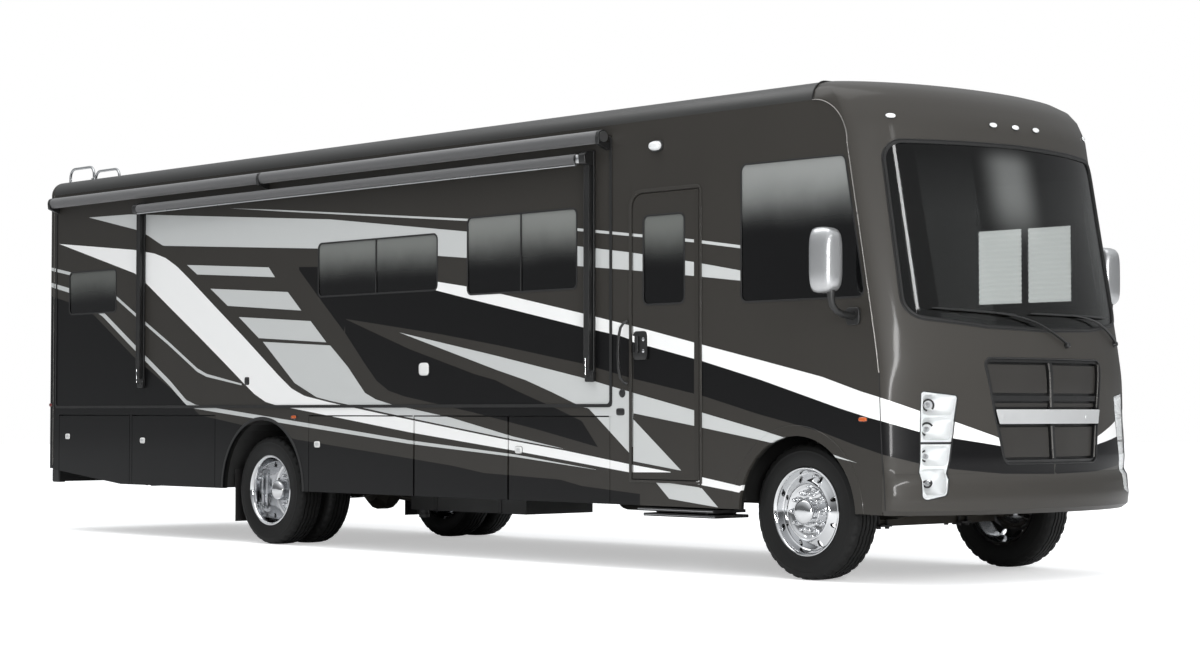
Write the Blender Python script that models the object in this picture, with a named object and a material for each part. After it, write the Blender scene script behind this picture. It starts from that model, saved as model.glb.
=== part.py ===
"""Motorhome with a one-piece curb-side slide-out room, on a front-engined truck chassis.

Metres. +X is forward, +Y is the street (driver's) side, -Y the curb (door) side, +Z is up.
The origin is on the ground, under the middle of the whole length and width.
"""
import math

import bmesh
import bpy
from mathutils import Matrix, Vector

# Body shell
HALF_WIDTH = 1.2825          # 101 in over the side walls
WALL = 0.045                 # laminated wall and moulded cap thickness
SEAT = 0.0003                # gap where one piece seats on another
RUNNING = 0.006              # gap round a piece that moves
REAR_X = -5.41               # rear face of the rear cap
REAR_CAP_DEPTH = 0.09        # how far the rear cap's flanges reach forward
REAR_CORNER = 0.05           # rounding of the rear cap's edge
FRONT_CAP_BACK = 4.53        # where the front cap's top meets the roof
WALL_TOP = 3.20              # top of the side walls, foot of the roof's rounding
ROOF_ROUND = 0.13            # radius of the roof's long edges
ROOF_CROWN = 0.025           # rise from the rounded edge to the flat middle
ROOF_FLAT = 0.30             # half width of the flat middle
SKIRT_Z = 0.465              # lower edge of the skirts
KICK_X = -4.095              # the skirt rises to the rear from here
KICK_REAR_Z = 0.589          # skirt height at the rear wall
BELT_Z = 1.10                # lower edge of the wall over the bay doors

# Front cap
CORNER_DEPTH = 0.40          # how far the cap's corner runs back to the flat wall
CORNER_SQUARE = 2.2          # superellipse powers of the cap's plan curve
CORNER_FULL = 1.4
JOINT_ARC = 0.31             # radius where the cap's side joint turns into the roof
CORNER_STEPS = 8             # facets from the middle of the cap to its side
SCREEN_TOP_Z = 2.908         # over the windscreen the cap turns back into the roof

# Chassis
FRONT_AXLE_X = 4.33
REAR_AXLE_X = -1.82          # 242 in wheelbase
AXLE_Z = 0.46
RAIL_Y = 0.43                # middle of a frame rail
RAIL_WIDTH = 0.075
RAIL_LOW, RAIL_HIGH = 0.56, 0.80
RAIL_REAR, RAIL_FRONT = -5.315, 5.30

CROSSMEMBERS = (-5.24, -4.2, -2.9, -1.0, 0.2, 1.6, 3.0, 4.00, 5.20)
RISERS = (-5.0, -3.2, -0.6, 1.2, 2.7, 3.7)   # posts between the rails and the floor
JACK_PAD = 0.10              # square lifting pads under the rails
JACK_PAD_X = (-3.55, 2.80)
FLAP_X = -2.345              # mud flaps behind the rear wheels
FLAP_Y = (0.66, 1.20)
FLAP_LOW = 0.18

# Wheels, 22.5 in. Tyre and rims: radius, distance outboard of the rim's middle
WHEEL_STEPS = 24
BEAD_RADIUS = 0.285
TYRE = [
    (BEAD_RADIUS, -0.1042), (0.300, -0.1042), (0.370, -0.1225), (0.432, -0.115), (0.460, -0.088),
    (0.460, 0.088), (0.432, 0.115), (0.370, 0.1225), (0.300, 0.1042), (BEAD_RADIUS, 0.1042),
]
FRONT_RIM = [
    (0.0, 0.150), (0.045, 0.148), (0.062, 0.135), (0.066, 0.105), (0.135, 0.096), (0.200, 0.072),
    (0.243, 0.050), (0.262, 0.062), (0.276, 0.103), (0.290, 0.117), (0.2985, 0.114), (0.2985, 0.1048),
    (0.2845, 0.1048), (0.2845, -0.1048), (0.2985, -0.1048), (0.2985, -0.117), (0.276, -0.110),
    (0.266, -0.020), (0.243, 0.032), (0.200, 0.054), (0.110, 0.076), (0.100, 0.070), (0.100, 0.005),
    (0.0, 0.005),
]
REAR_RIM = [
    (0.0, 0.060), (0.075, 0.058), (0.088, 0.045), (0.092, -0.085), (0.150, -0.090), (0.155, -0.130),
    (0.232, -0.133), (0.250, -0.105), (0.262, 0.010), (0.276, 0.103), (0.290, 0.117), (0.2985, 0.114),
    (0.2985, 0.1048), (0.2845, 0.1048), (0.2845, -0.1048), (0.2985, -0.1048), (0.2985, -0.115),
    (0.270, -0.125), (0.270, -0.180), (0.2985, -0.190), (0.2985, -0.2002), (0.2845, -0.2002),
    (0.2845, -0.4098), (0.2985, -0.4098), (0.2985, -0.422), (0.276, -0.415), (0.262, -0.320),
    (0.250, -0.180), (0.232, -0.160), (0.160, -0.160), (0.155, -0.300), (0.100, -0.403), (0.0, -0.403),
]
FRONT_TRACK_HALF = 1.033     # middle of a front tyre
REAR_OUTER_HALF = 1.093      # middle of an outer rear tyre
DUAL_SPACING = 0.305
KINGPIN_INSET = 0.103        # kingpin inboard of the front tyre's middle
KINGPIN_HALF = FRONT_TRACK_HALF - KINGPIN_INSET
HAND_HOLES = 8

# Floor
FLOOR_TOP, FLOOR_LOW = 1.13, 1.09
FLOOR_FRONT = 4.95
DASH_GAP = 0.0575            # dashboard's ends to the walls' inner faces
LAMP_BACK_X = 4.98           # nothing of the nose reaches behind this, where the steered wheels sweep

# Slide-out room
SLIDE_X = (-5.27, 2.555)
SLIDE_HEADROOM = 0.08        # wall left over the room
SLIDE_Z = (1.175, WALL_TOP - SLIDE_HEADROOM)
SLIDE_INNER_Y = -0.40        # the room's open inner edge when it is in
SLIDE_SKIN = 0.03            # its floor, ends and roof

# Patio awning and slide-room cover, both on the curb side
AWNING_ARMS = (-3.73, 2.35)
AWNING_ARM_Z = (1.37, 3.03)
TOPPER_X = (-5.262, 2.547)
TOPPER_BRACKETS = (-5.24, -1.76, 2.525)

# Entry door
DOOR_X = (2.777, 3.460)      # opening in the wall
DOOR_Z = (0.646, 2.685)
DOOR_CORNER = 0.10
HINGE_INSET = 0.006          # a door's hinge axis lies this far in from its edge and face
PIN_RADIUS = 0.005
LOCK_PLATE = (2.805, 2.945, 1.50, 1.70)      # low x, high x, low z, high z
HANDLE_Z = (1.56, 1.66)
STEP_X = (2.82, 3.58)
STEP_ARMS_X = (2.87, 3.38)   # the arms and their guides under the step well

# Arches: middle x, middle z, radius of the cut
FRONT_ARCH = (4.37, 0.44, 0.53)
REAR_ARCH = (-1.83, 0.47, 0.59)

# Front profile of the cap: height, x at the middle, half width, corner depth
CAP_SECTIONS = [(z, x, HALF_WIDTH - inward, depth) for z, x, inward, depth in (
    (0.460, 5.515, 0.0205, 0.40),
    (0.490, 5.550, 0.0, 0.40),
    (0.560, 5.560, 0.0, 0.40),
    (0.690, 5.548, 0.0, 0.40),
    (0.730, 5.520, 0.0, 0.40),
    (0.816, 5.528, 0.0, 0.40),
    (1.094, 5.513, 0.0, 0.40),
    (1.399, 5.508, 0.0, 0.40),
    (1.487, 5.489, 0.0, 0.40),
    (1.675, 5.458, 0.0, 0.40),
    (2.908, 5.233, 0.0, 0.40),
    (3.053, 5.208, 0.0, 0.40),
    (3.120, 5.180, 0.0, 0.40),
    (3.200, 5.138, 0.0, 0.40),
    (3.265, 5.080, 0.0175, 0.40),
    (3.310, 5.000, 0.0625, 0.40),
    (3.330, 4.930, ROOF_ROUND, 0.36),
    (3.355, 4.700, HALF_WIDTH - ROOF_FLAT, 0.15),
)]

# Windows: name, low x, high x, low z, high z
SLIDE_WINDOWS = [
    ("slide_glass_rear", -5.030, -4.195, 2.050, 2.445),
    ("slide_glass_middle", -1.025, 0.550, 2.080, 2.520),
    ("slide_glass_front", 0.923, 2.185, 2.030, 2.620),
]
STREET_WINDOWS = [
    ("street_glass_rear", -4.700, -3.860, 2.050, 2.445),
    ("street_glass_middle", -0.500, 1.075, 2.080, 2.520),
]
DOOR_WINDOW = (2.895, 3.312, 1.888, 2.520)
WINDOW_CORNER = 0.045
GLASS = 0.012
GLASS_INSET = 0.006          # glass lies this far behind the wall's face

# Cab side window, corners in x and z with the corner radius
CAB_WINDOW = [
    (3.865, 1.875, 0.05), (4.985, 1.875, 0.05), (4.815, 2.812, 0.05), (3.865, 2.815, 0.05),
]
# Windscreen, corners in y and z with the corner radius
WINDSCREEN = [
    (-1.130, 1.750, 0.13), (-0.550, 1.690, 0.0), (0.0, 1.675, 0.0), (0.550, 1.690, 0.0),
    (1.130, 1.750, 0.13), (1.115, 2.900, 0.13), (0.0, 2.915, 0.0), (-1.115, 2.900, 0.13),
]
# Grille recess and headlamp, corners in y and z with the corner radius
GRILLE = [(-0.49, 0.79, 0.05), (0.49, 0.79, 0.05), (0.63, 1.478, 0.05), (-0.63, 1.478, 0.05)]
GRILLE_BAR = [(-0.533, 1.049), (0.533, 1.049), (0.560, 1.144), (-0.560, 1.144)]
HEADLAMP = [
    (0.840, 1.233, 0.02), (0.895, 0.922, 0.0), (0.952, 0.590, 0.03),
    (1.112, 0.553, 0.03), (1.082, 1.262, 0.02),
]
# Lamp bowls: y, z, radius
LAMP_BOWLS = [(0.972, 1.168, 0.062), (0.987, 1.015, 0.062), (1.005, 0.842, 0.060), (1.030, 0.690, 0.055)]

# Mirror head, from its centre: share of its full size, x
MIRROR_HEAD = [(0.72, 4.775), (0.93, 4.79), (1.0, 4.83), (0.97, 4.88), (0.80, 4.925), (0.50, 4.945)]
MIRROR_REACH = 0.2222        # wall to the middle of the head
MIRROR_Z = 2.11
MIRROR_HALF_WIDE, MIRROR_HALF_TALL = 0.095, 0.215
MIRROR_ARM = 0.022           # radius

# Wipers: name, y and z of the pivot, y and z of the tip
WIPERS = [
    ("wiper_curb", 0.250, 1.575, -0.720, 1.800),
    ("wiper_street", 0.967, 1.600, 0.050, 1.800),
]

# Tail lamps, measured in from the side of the body
TAIL_LAMP_IN = (0.1125, 0.2225)
TAIL_LAMP_Z = (0.95, 1.42)

# Bay doors: name, low x, high x. Each is hinged at its front edge.
CURB_BAYS = [
    ("bay_door_curb_1", -5.200, -3.950),
    ("bay_door_curb_2", -3.900, -2.550),
    ("bay_door_curb_3", -1.150, 0.250),
    ("bay_door_curb_4", 0.270, 1.400),
    ("bay_door_curb_5", 1.420, 2.540),
]
STREET_BAYS = [
    ("bay_door_street_1", -3.900, -2.550),
    ("bay_door_street_2", -1.150, 0.250),
]
BAY_DOOR_TOP = 1.09
BAY_DOOR_THICK = 0.030
BAY_INNER_Y = 0.55           # the bays' inner wall
BAY_SKIN = 0.012
BAY_FLOOR_Z = 0.500
BAY_FLOOR_REAR_Z = 0.620     # over the raised rear skirt

# Ladder
LADDER_Y = (-0.98, -0.70)
LADDER_TUBE = 0.0125
LADDER_X = -5.5475           # middle of the rails, behind the rear wall
LADDER_TOP = 3.495
LADDER_FOOT = 1.05
LADDER_RUNGS = 8

# Roof air conditioners: name, middle x. Shroud rows: height, shares of its half length and half width
AIR_CONDITIONERS = [("air_conditioner_front", 1.9), ("air_conditioner_rear", -3.2)]
SHROUD_HALF_LONG, SHROUD_HALF_WIDE = 0.48, 0.29
SHROUD = [(0.0, 1.0, 1.0), (0.045, 0.98, 0.97), (0.105, 0.90, 0.80), (0.145, 0.78, 0.52), (0.155, 0.60, 0.30)]

# Colours: name to red, green, blue, roughness, metallic
PAINTS = {
    "charcoal": (0.045, 0.041, 0.038, 0.35, 0.0),
    "black": (0.012, 0.012, 0.012, 0.5, 0.0),
    "glass": (0.02, 0.02, 0.022, 0.08, 0.0),
    "chrome": (0.75, 0.75, 0.76, 0.12, 1.0),
    "rubber": (0.02, 0.02, 0.02, 0.8, 0.0),
    "steel": (0.03, 0.03, 0.03, 0.6, 0.4),
    "trim": (0.2, 0.2, 0.2, 0.6, 0.0),
    "white": (0.8, 0.8, 0.8, 0.4, 0.0),
}


def clear_scene():
    for item in list(bpy.data.objects):
        bpy.data.objects.remove(item)


def paint(item, name):
    """Give an object one of the named finishes."""
    material = bpy.data.materials.get(name)
    if material is None:
        red, green, blue, roughness, metallic = PAINTS[name]
        material = bpy.data.materials.new(name)
        material.use_nodes = True
        shader = material.node_tree.nodes["Principled BSDF"]
        shader.inputs["Base Color"].default_value = (red, green, blue, 1.0)
        shader.inputs["Roughness"].default_value = roughness
        shader.inputs["Metallic"].default_value = metallic
    item.data.materials.clear()
    item.data.materials.append(material)
    return item


def solid(mesh_data, name="solid"):
    """Turn a bmesh into an object whose faces point out."""
    bmesh.ops.recalc_face_normals(mesh_data, faces=mesh_data.faces)
    mesh = bpy.data.meshes.new(name)
    mesh_data.to_mesh(mesh)
    mesh_data.free()
    item = bpy.data.objects.new(name, mesh)
    bpy.context.scene.collection.objects.link(item)
    return item


def loft(rings):
    """A solid through closed rings of equally many points, flat at both ends."""
    work = bmesh.new()
    loops = [[work.verts.new(point) for point in ring] for ring in rings]
    for near, far in zip(loops, loops[1:]):
        for i in range(len(near)):
            j = (i + 1) % len(near)
            work.faces.new((near[i], near[j], far[j], far[i]))
    work.faces.new(list(reversed(loops[0])))
    work.faces.new(loops[-1])
    return solid(work)


def prism(outline, axis, low, high):
    """A flat outline drawn out along one axis, from low to high."""
    place = {
        "x": lambda a, b, along: (along, a, b),
        "y": lambda a, b, along: (a, along, b),
        "z": lambda a, b, along: (a, b, along),
    }[axis]
    return loft([[place(a, b, along) for a, b in outline] for along in (low, high)])


def box(low, high):
    outline = [(low[0], low[1]), (high[0], low[1]), (high[0], high[1]), (low[0], high[1])]
    return prism(outline, "z", low[2], high[2])


def cylinder(centre, radius, axis, low, high, sides=16):
    """A round bar along an axis; centre holds the two other coordinates."""
    outline = [
        (centre[0] + radius * math.cos(math.tau * i / sides),
         centre[1] + radius * math.sin(math.tau * i / sides))
        for i in range(sides)
    ]
    return prism(outline, axis, low, high)


def rounded(corners, steps=4):
    """An outline whose corners (a, b, radius) are rounded by arcs."""
    outline = []
    count = len(corners)
    for i, (a, b, radius) in enumerate(corners):
        here = Vector((a, b))
        if radius == 0.0:
            outline.append((a, b))
            continue
        before = (Vector(corners[i - 1][:2]) - here).normalized()
        after = (Vector(corners[(i + 1) % count][:2]) - here).normalized()
        half = before.angle(after) / 2
        middle = here + (before + after).normalized() * (radius / math.sin(half))
        start = here + before * (radius / math.tan(half)) - middle
        sweep = (here + after * (radius / math.tan(half)) - middle)
        turn = math.atan2(start.x * sweep.y - start.y * sweep.x, start.dot(sweep))
        for k in range(steps + 1):
            point = Matrix.Rotation(turn * k / steps, 2) @ start + middle
            outline.append((point.x, point.y))
    return outline


def rectangle(low_a, high_a, low_b, high_b, radius=0.0):
    corners = [(low_a, low_b), (high_a, low_b), (high_a, high_b), (low_a, high_b)]
    return rounded([(a, b, radius) for a, b in corners])


def shrink(outline, by):
    """Move a convex outline's edges inwards."""
    centre = Vector((0.0, 0.0))
    for point in outline:
        centre += Vector(point) / len(outline)
    moved = []
    count = len(outline)
    for i in range(count):
        here = Vector(outline[i])
        back = (here - Vector(outline[i - 1])).normalized()
        on = (Vector(outline[(i + 1) % count]) - here).normalized()
        normal_back = Vector((-back.y, back.x))
        normal_on = Vector((-on.y, on.x))
        if normal_back.dot(centre - here) < 0:
            normal_back, normal_on = -normal_back, -normal_on
        middle = (normal_back + normal_on).normalized()
        moved.append(tuple(here + middle * (by / max(0.3, middle.dot(normal_on)))))
    return moved


def turned(profile, centre_x, centre_z, steps=WHEEL_STEPS, half_turn=False, ends_on_axis=True):
    """A profile of (radius, y) turned round a level axis along Y."""
    work = bmesh.new()
    rings = []
    offset = 0.5 if half_turn else 0.0
    for radius, y in profile:
        if radius < 1e-6:
            rings.append([work.verts.new((centre_x, y, centre_z))])
            continue
        ring = []
        for i in range(steps):
            angle = math.tau * (i + offset) / steps - math.pi / 2
            ring.append(work.verts.new((centre_x + radius * math.cos(angle), y,
                                        centre_z + radius * math.sin(angle))))
        rings.append(ring)
    pairs = list(zip(rings, rings[1:]))
    if not ends_on_axis:
        pairs.append((rings[-1], rings[0]))
    for near, far in pairs:
        for i in range(steps):
            j = (i + 1) % steps
            if len(near) == 1:
                work.faces.new((near[0], far[i], far[j]))
            elif len(far) == 1:
                work.faces.new((near[i], far[0], near[j]))
            else:
                work.faces.new((near[i], far[i], far[j], near[j]))
    return solid(work)


def tube(points, radius, sides=8):
    """A round bar that follows points, with mitred bends and flat ends."""
    path = [Vector(point) for point in points]
    rings = []
    across = None
    for i, here in enumerate(path):
        back = (here - path[i - 1]).normalized() if i else None
        on = (path[i + 1] - here).normalized() if i + 1 < len(path) else None
        along = ((back or on) + (on or back)).normalized()
        if across is None:
            helper = Vector((0, 0, 1)) if abs(along.z) < 0.9 else Vector((0, 1, 0))
            across = along.cross(helper).normalized()
        across = (across - along * across.dot(along)).normalized()
        up = along.cross(across)
        stretch = 1.0 / max(0.5, along.dot(on or back))
        bend = None
        if back is not None and on is not None and (on - back).length > 1e-6:
            bend = (on - back).normalized()
        ring = []
        for k in range(sides):
            angle = math.tau * (k + 0.5) / sides
            offset = across * (radius * math.cos(angle)) + up * (radius * math.sin(angle))
            if bend is not None:
                offset += bend * (offset.dot(bend) * (stretch - 1.0))
            ring.append(here + offset)
        rings.append(ring)
    return loft(rings)


def combine(base, operation, tools):
    """Fuse, cut or intersect solids, and keep only the result."""
    for tool in tools:
        step = base.modifiers.new(operation, "BOOLEAN")
        step.operation = operation
        step.solver = "EXACT"
        step.object = tool
    depsgraph = bpy.context.evaluated_depsgraph_get()
    mesh = bpy.data.meshes.new_from_object(base.evaluated_get(depsgraph))
    base.modifiers.clear()
    base.data = mesh
    for tool in tools:
        bpy.data.objects.remove(tool)
    work = bmesh.new()
    work.from_mesh(mesh)
    bmesh.ops.remove_doubles(work, verts=work.verts, dist=1e-5)
    bmesh.ops.dissolve_degenerate(work, edges=work.edges, dist=1e-5)
    work.to_mesh(mesh)
    work.free()
    return base


def fuse(base, *tools):
    return combine(base, "UNION", tools)


def cut(base, *tools):
    return combine(base, "DIFFERENCE", tools)


def common(base, *tools):
    return combine(base, "INTERSECT", tools)


def name_part(item, name, finish):
    item.name = name
    item.data.name = name
    paint(item, finish)
    item.data.shade_smooth()
    item.data.set_sharp_from_angle(angle=math.radians(32))
    return item


def mirrored(item, name):
    """A copy of a finished piece on the other side of the vehicle."""
    work = bmesh.new()
    work.from_mesh(item.data)
    bmesh.ops.scale(work, vec=(1, -1, 1), verts=work.verts)
    bmesh.ops.reverse_faces(work, faces=work.faces)
    copy = solid(work, name)
    return name_part(copy, name, item.data.materials[0].name)


def section_at(z):
    """Front x, half width and corner depth of the cap at a height."""
    rows = CAP_SECTIONS
    z = min(max(z, rows[0][0]), rows[-1][0])
    for low, high in zip(rows, rows[1:]):
        if z <= high[0]:
            share = (z - low[0]) / (high[0] - low[0])
            return tuple(low[k] + (high[k] - low[k]) * share for k in (1, 2, 3))
    return rows[-1][1:]


def cap_point(y, z, proud=0.0):
    """The point of the cap's outer surface at a width and height, moved forward by proud."""
    front, half, depth = section_at(z)
    share = min(1.0, abs(y) / half)
    bulge = (1.0 - share ** CORNER_SQUARE) ** (1.0 / CORNER_FULL)
    return (front - depth + depth * bulge + proud, y, z)


def cap_ring(z, front, half, depth, inset, back):
    """One level section of the cap, from its back on one side round to the other."""
    half -= inset
    front -= inset
    ring = [(back, -half, z)]
    for i in range(-CORNER_STEPS, CORNER_STEPS + 1):
        turn = math.pi / 2 * i / CORNER_STEPS
        share = abs(math.sin(turn)) ** (2.0 / CORNER_SQUARE)
        bulge = math.cos(turn) ** (2.0 / CORNER_FULL) if abs(i) < CORNER_STEPS else 0.0
        ring.append((front - depth + depth * bulge, math.copysign(share * half, i), z))
    ring.append((back, half, z))
    return ring


def cap_solid(inset, back=FRONT_CAP_BACK):
    """The cap's whole volume, with its surface moved in by inset."""
    rings = []
    for z, front, half, depth in CAP_SECTIONS:
        level = z
        if z > SCREEN_TOP_Z:
            level -= inset * (z - SCREEN_TOP_Z) / (CAP_SECTIONS[-1][0] - SCREEN_TOP_Z)
        if inset > 0 and z == CAP_SECTIONS[0][0]:
            level -= 0.05
        rings.append(cap_ring(level, front, half, depth, inset, back))
    return loft(rings)


def cap_shell(near, far):
    """The layer of the cap between two depths under its surface."""
    return cut(cap_solid(near), cap_solid(far, FRONT_CAP_BACK - 0.1))


def joint_x(z):
    """Where the side wall ends and the cap's corner begins."""
    front, half, depth = section_at(z)
    return front - CORNER_DEPTH


def skirt_z(x):
    """Height of the skirt's lower edge."""
    if x >= KICK_X:
        return SKIRT_Z
    return SKIRT_Z + (KICK_REAR_Z - SKIRT_Z) * (KICK_X - x) / (KICK_X - REAR_X)


def wall_outline(gap, lower=0.0):
    """Side wall in x and z, each edge at a neighbour held back by gap."""
    rear = REAR_X + REAR_CAP_DEPTH + gap
    outline = [(rear, WALL_TOP - gap), (rear, skirt_z(rear)), (KICK_X, SKIRT_Z - lower)]
    outline.append((joint_x(SKIRT_Z) - gap, SKIRT_Z - lower))
    for z in (0.816, 1.399, 1.675):
        outline.append((joint_x(z) - gap, z))
    centre_z = WALL_TOP - JOINT_ARC
    reach = joint_x(centre_z) - FRONT_CAP_BACK
    for k in range(7):
        turn = math.pi / 2 * k / 6
        outline.append((FRONT_CAP_BACK + (reach - gap) * math.cos(turn),
                        centre_z + (JOINT_ARC - gap) * math.sin(turn)))
    return outline


def wall_plate(side):
    return prism(wall_outline(SEAT), "y", *sorted((side * (HALF_WIDTH - WALL), side * HALF_WIDTH)))


def wall_room(side):
    """The space that a side wall takes out of the front cap."""
    near, far = HALF_WIDTH - WALL - SEAT, HALF_WIDTH + 0.1
    return prism(wall_outline(0.0, 0.1), "y", *sorted((side * near, side * far)))


def through_wall(outline, side):
    """A cutter through a side wall."""
    middle = side * HALF_WIDTH
    return prism(outline, "y", middle - 0.12, middle + 0.12)


def arch_cutter(arch, side):
    x, z, radius = arch
    outline = [
        (x + radius * math.cos(math.pi * k / 16), z + radius * math.sin(math.pi * k / 16))
        for k in range(17)
    ]
    outline += [(x - radius, 0.2), (x + radius, 0.2)]
    return through_wall(outline, side)


def bay_cutters(bays, side):
    """Openings in the skirt behind the bay doors; doors 20 mm apart share one."""
    spans = []
    for name, low, high in bays:
        if spans and low - spans[-1][1] < 0.03:
            spans[-1][1] = high
        else:
            spans.append([low, high])
    outlines = [rectangle(low - RUNNING, high + RUNNING, 0.3, BELT_Z) for low, high in spans]
    return [through_wall(outline, side) for outline in outlines]


def hinge_point(high_x, side):
    """Hinge axis of a door whose front edge is at high_x."""
    return (high_x - HINGE_INSET, side * (HALF_WIDTH - HINGE_INSET))


def make_side_wall(side, name, windows, bays):
    wall = wall_plate(side)
    cutters = [arch_cutter(FRONT_ARCH, side), arch_cutter(REAR_ARCH, side)]
    cutters += bay_cutters(bays, side)
    cutters.append(through_wall(rounded(CAB_WINDOW), side))
    for window in windows:
        cutters.append(through_wall(rectangle(*window[1:], WINDOW_CORNER), side))
    if side < 0:
        cutters.append(through_wall(rectangle(
            SLIDE_X[0] - RUNNING, SLIDE_X[1] + RUNNING, SLIDE_Z[0] - RUNNING, SLIDE_Z[1] + RUNNING), side))
        cutters.append(through_wall(door_outline(0.0), side))
    cut(wall, *cutters)
    pins = [
        cylinder(hinge_point(high, side), PIN_RADIUS, "z", BAY_DOOR_TOP + SEAT, BELT_Z + 0.01, 10)
        for bay, low, high in bays
    ]
    if side < 0:
        hinge = hinge_point(DOOR_X[1] - RUNNING, side)
        pins.append(cylinder(hinge, PIN_RADIUS, "z", DOOR_Z[1] - RUNNING + SEAT, DOOR_Z[1] + 0.01, 10))
        pins.append(cylinder(hinge, PIN_RADIUS, "z", DOOR_Z[0] - 0.01, DOOR_Z[0] + RUNNING - SEAT, 10))
    fuse(wall, *pins)
    return name_part(wall, name, "charcoal")


def door_outline(inset):
    """Entry door in x and z: square at the sill, rounded above, square over its hinge."""
    low, high = DOOR_X[0] + inset, DOOR_X[1] - inset
    top = DOOR_Z[1] - inset
    return rounded([(low, DOOR_Z[0] + inset, 0.0), (high, DOOR_Z[0] + inset, 0.0),
                    (high, top, 0.0), (low, top, DOOR_CORNER)])


def glass_pane(name, outline, side):
    outer = HALF_WIDTH - GLASS_INSET
    low, high = sorted((side * outer, side * (outer - GLASS)))
    return name_part(prism(shrink(outline, SEAT), "y", low, high), name, "glass")


def make_entry_door():
    outer = -HALF_WIDTH
    door = prism(door_outline(RUNNING), "y", outer, outer + WALL)
    cut(door, through_wall(rectangle(*DOOR_WINDOW, WINDOW_CORNER), -1))
    low_x, high_x, low_z, high_z = LOCK_PLATE
    grip_x = low_x + 0.025
    handle = tube([(grip_x, outer + 0.01, HANDLE_Z[0]), (grip_x, outer - 0.035, HANDLE_Z[0]),
                   (grip_x, outer - 0.035, HANDLE_Z[1]), (grip_x, outer + 0.01, HANDLE_Z[1])], 0.009)
    plate = box((low_x, outer - 0.012, low_z), (high_x, outer + 0.01, high_z))
    fuse(door, plate, handle)
    name_part(door, "entry_door", "charcoal")
    glass_pane("entry_door_glass", rectangle(*DOOR_WINDOW, WINDOW_CORNER), -1)


def body_section(inset, low):
    """The body's outline across the vehicle, in y and z, from a lower edge to the roof."""
    half = HALF_WIDTH - inset
    radius = ROOF_ROUND - inset
    curve = [(half, low)]
    for k in range(6):
        turn = math.pi / 2 * k / 5
        curve.append((HALF_WIDTH - ROOF_ROUND + radius * math.cos(turn),
                      WALL_TOP + radius * math.sin(turn)))
    curve.append((ROOF_FLAT, WALL_TOP + ROOF_ROUND + ROOF_CROWN - inset))
    return curve + [(-y, z) for y, z in reversed(curve)]


def make_roof():
    outer = prism(body_section(0.0, WALL_TOP - 0.001), "x",
                  REAR_X + REAR_CAP_DEPTH + SEAT, FRONT_CAP_BACK - SEAT)
    inner = prism(body_section(WALL, WALL_TOP - 0.1), "x", REAR_X, FRONT_CAP_BACK + 0.1)
    roof = cut(outer, inner)
    level = box((REAR_X - 1, -2, WALL_TOP - 0.5), (FRONT_CAP_BACK + 1, 2, WALL_TOP))
    cut(roof, level)
    return name_part(roof, "roof", "charcoal")


def make_rear_cap():
    rows = [(0.0, REAR_CORNER), (0.012, REAR_CORNER * 0.4), (REAR_CORNER, 0.0), (REAR_CAP_DEPTH, 0.0)]
    rings = []
    for back, inset in rows:
        low = KICK_REAR_Z + inset
        rings.append([(REAR_X + back, y, z) for y, z in body_section(inset, low)])
    cap = loft(rings)
    inner = prism(body_section(WALL, KICK_REAR_Z + WALL), "x", REAR_X + WALL, REAR_X + 0.3)
    cut(cap, inner)
    lamps = []
    for side in (-1, 1):
        low_y, high_y = sorted(side * (HALF_WIDTH - inward) for inward in TAIL_LAMP_IN)
        outline = rectangle(low_y, high_y, *TAIL_LAMP_Z, 0.03)
        lamps.append(prism(outline, "x", REAR_X - 0.018, REAR_X + 0.02))
    fuse(cap, *lamps)
    return name_part(cap, "rear_cap", "charcoal")


def front_cutter(outline, rear_x=4.6):
    return prism(outline, "x", rear_x, 5.8)


def headlamp_outline(side, inset=0.0):
    outline = [(side * y, z) for y, z in rounded(HEADLAMP)]
    return shrink(outline, inset) if inset else outline


def make_front_cap():
    cap = cap_shell(0.0, WALL)
    cut(cap, wall_room(-1), wall_room(1))
    inner_y = HALF_WIDTH - WALL
    cut(cap, box((FRONT_CAP_BACK - 0.1, -inner_y, 0.0), (LAMP_BACK_X, inner_y, BELT_Z)))
    cut(cap, front_cutter(rounded(WINDSCREEN)), front_cutter(rounded(GRILLE)),
        front_cutter(headlamp_outline(-1)), front_cutter(headlamp_outline(1)))
    return name_part(cap, "front_cap", "charcoal")


def make_windscreen():
    glass = cap_shell(GLASS_INSET, GLASS_INSET + GLASS)
    common(glass, front_cutter(shrink(rounded(WINDSCREEN), SEAT)))
    return name_part(glass, "windscreen", "glass")


def make_grille():
    outline = shrink(rounded(GRILLE), SEAT)
    panel = common(cap_shell(0.034, 0.044), front_cutter(outline))
    bars = cap_shell(0.010, 0.039)
    cross = fuse(front_cutter(rectangle(-0.022, 0.022, 0.5, 1.7)),
                 front_cutter(rectangle(-0.8, 0.8, 1.20, 1.235)))
    common(bars, front_cutter(shrink(outline, 0.004)), cross)
    rim = common(cap_shell(0.006, 0.041), front_cutter(outline))
    cut(rim, front_cutter(shrink(outline, 0.022)))
    blade = common(cap_shell(-0.012, 0.038), front_cutter(GRILLE_BAR))
    fuse(panel, bars, rim, blade)
    return name_part(panel, "grille", "black")


def make_headlamp(side, name):
    lamp = common(cap_shell(0.004, 0.100), front_cutter(headlamp_outline(side, SEAT), LAMP_BACK_X))
    bowls = []
    for y, z, radius in LAMP_BOWLS:
        x = cap_point(side * y, z)[0]
        bowls.append(lamp_bowl((x - 0.035, side * y, z), radius))
    cut(lamp, *bowls)
    return name_part(lamp, name, "chrome")


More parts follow.
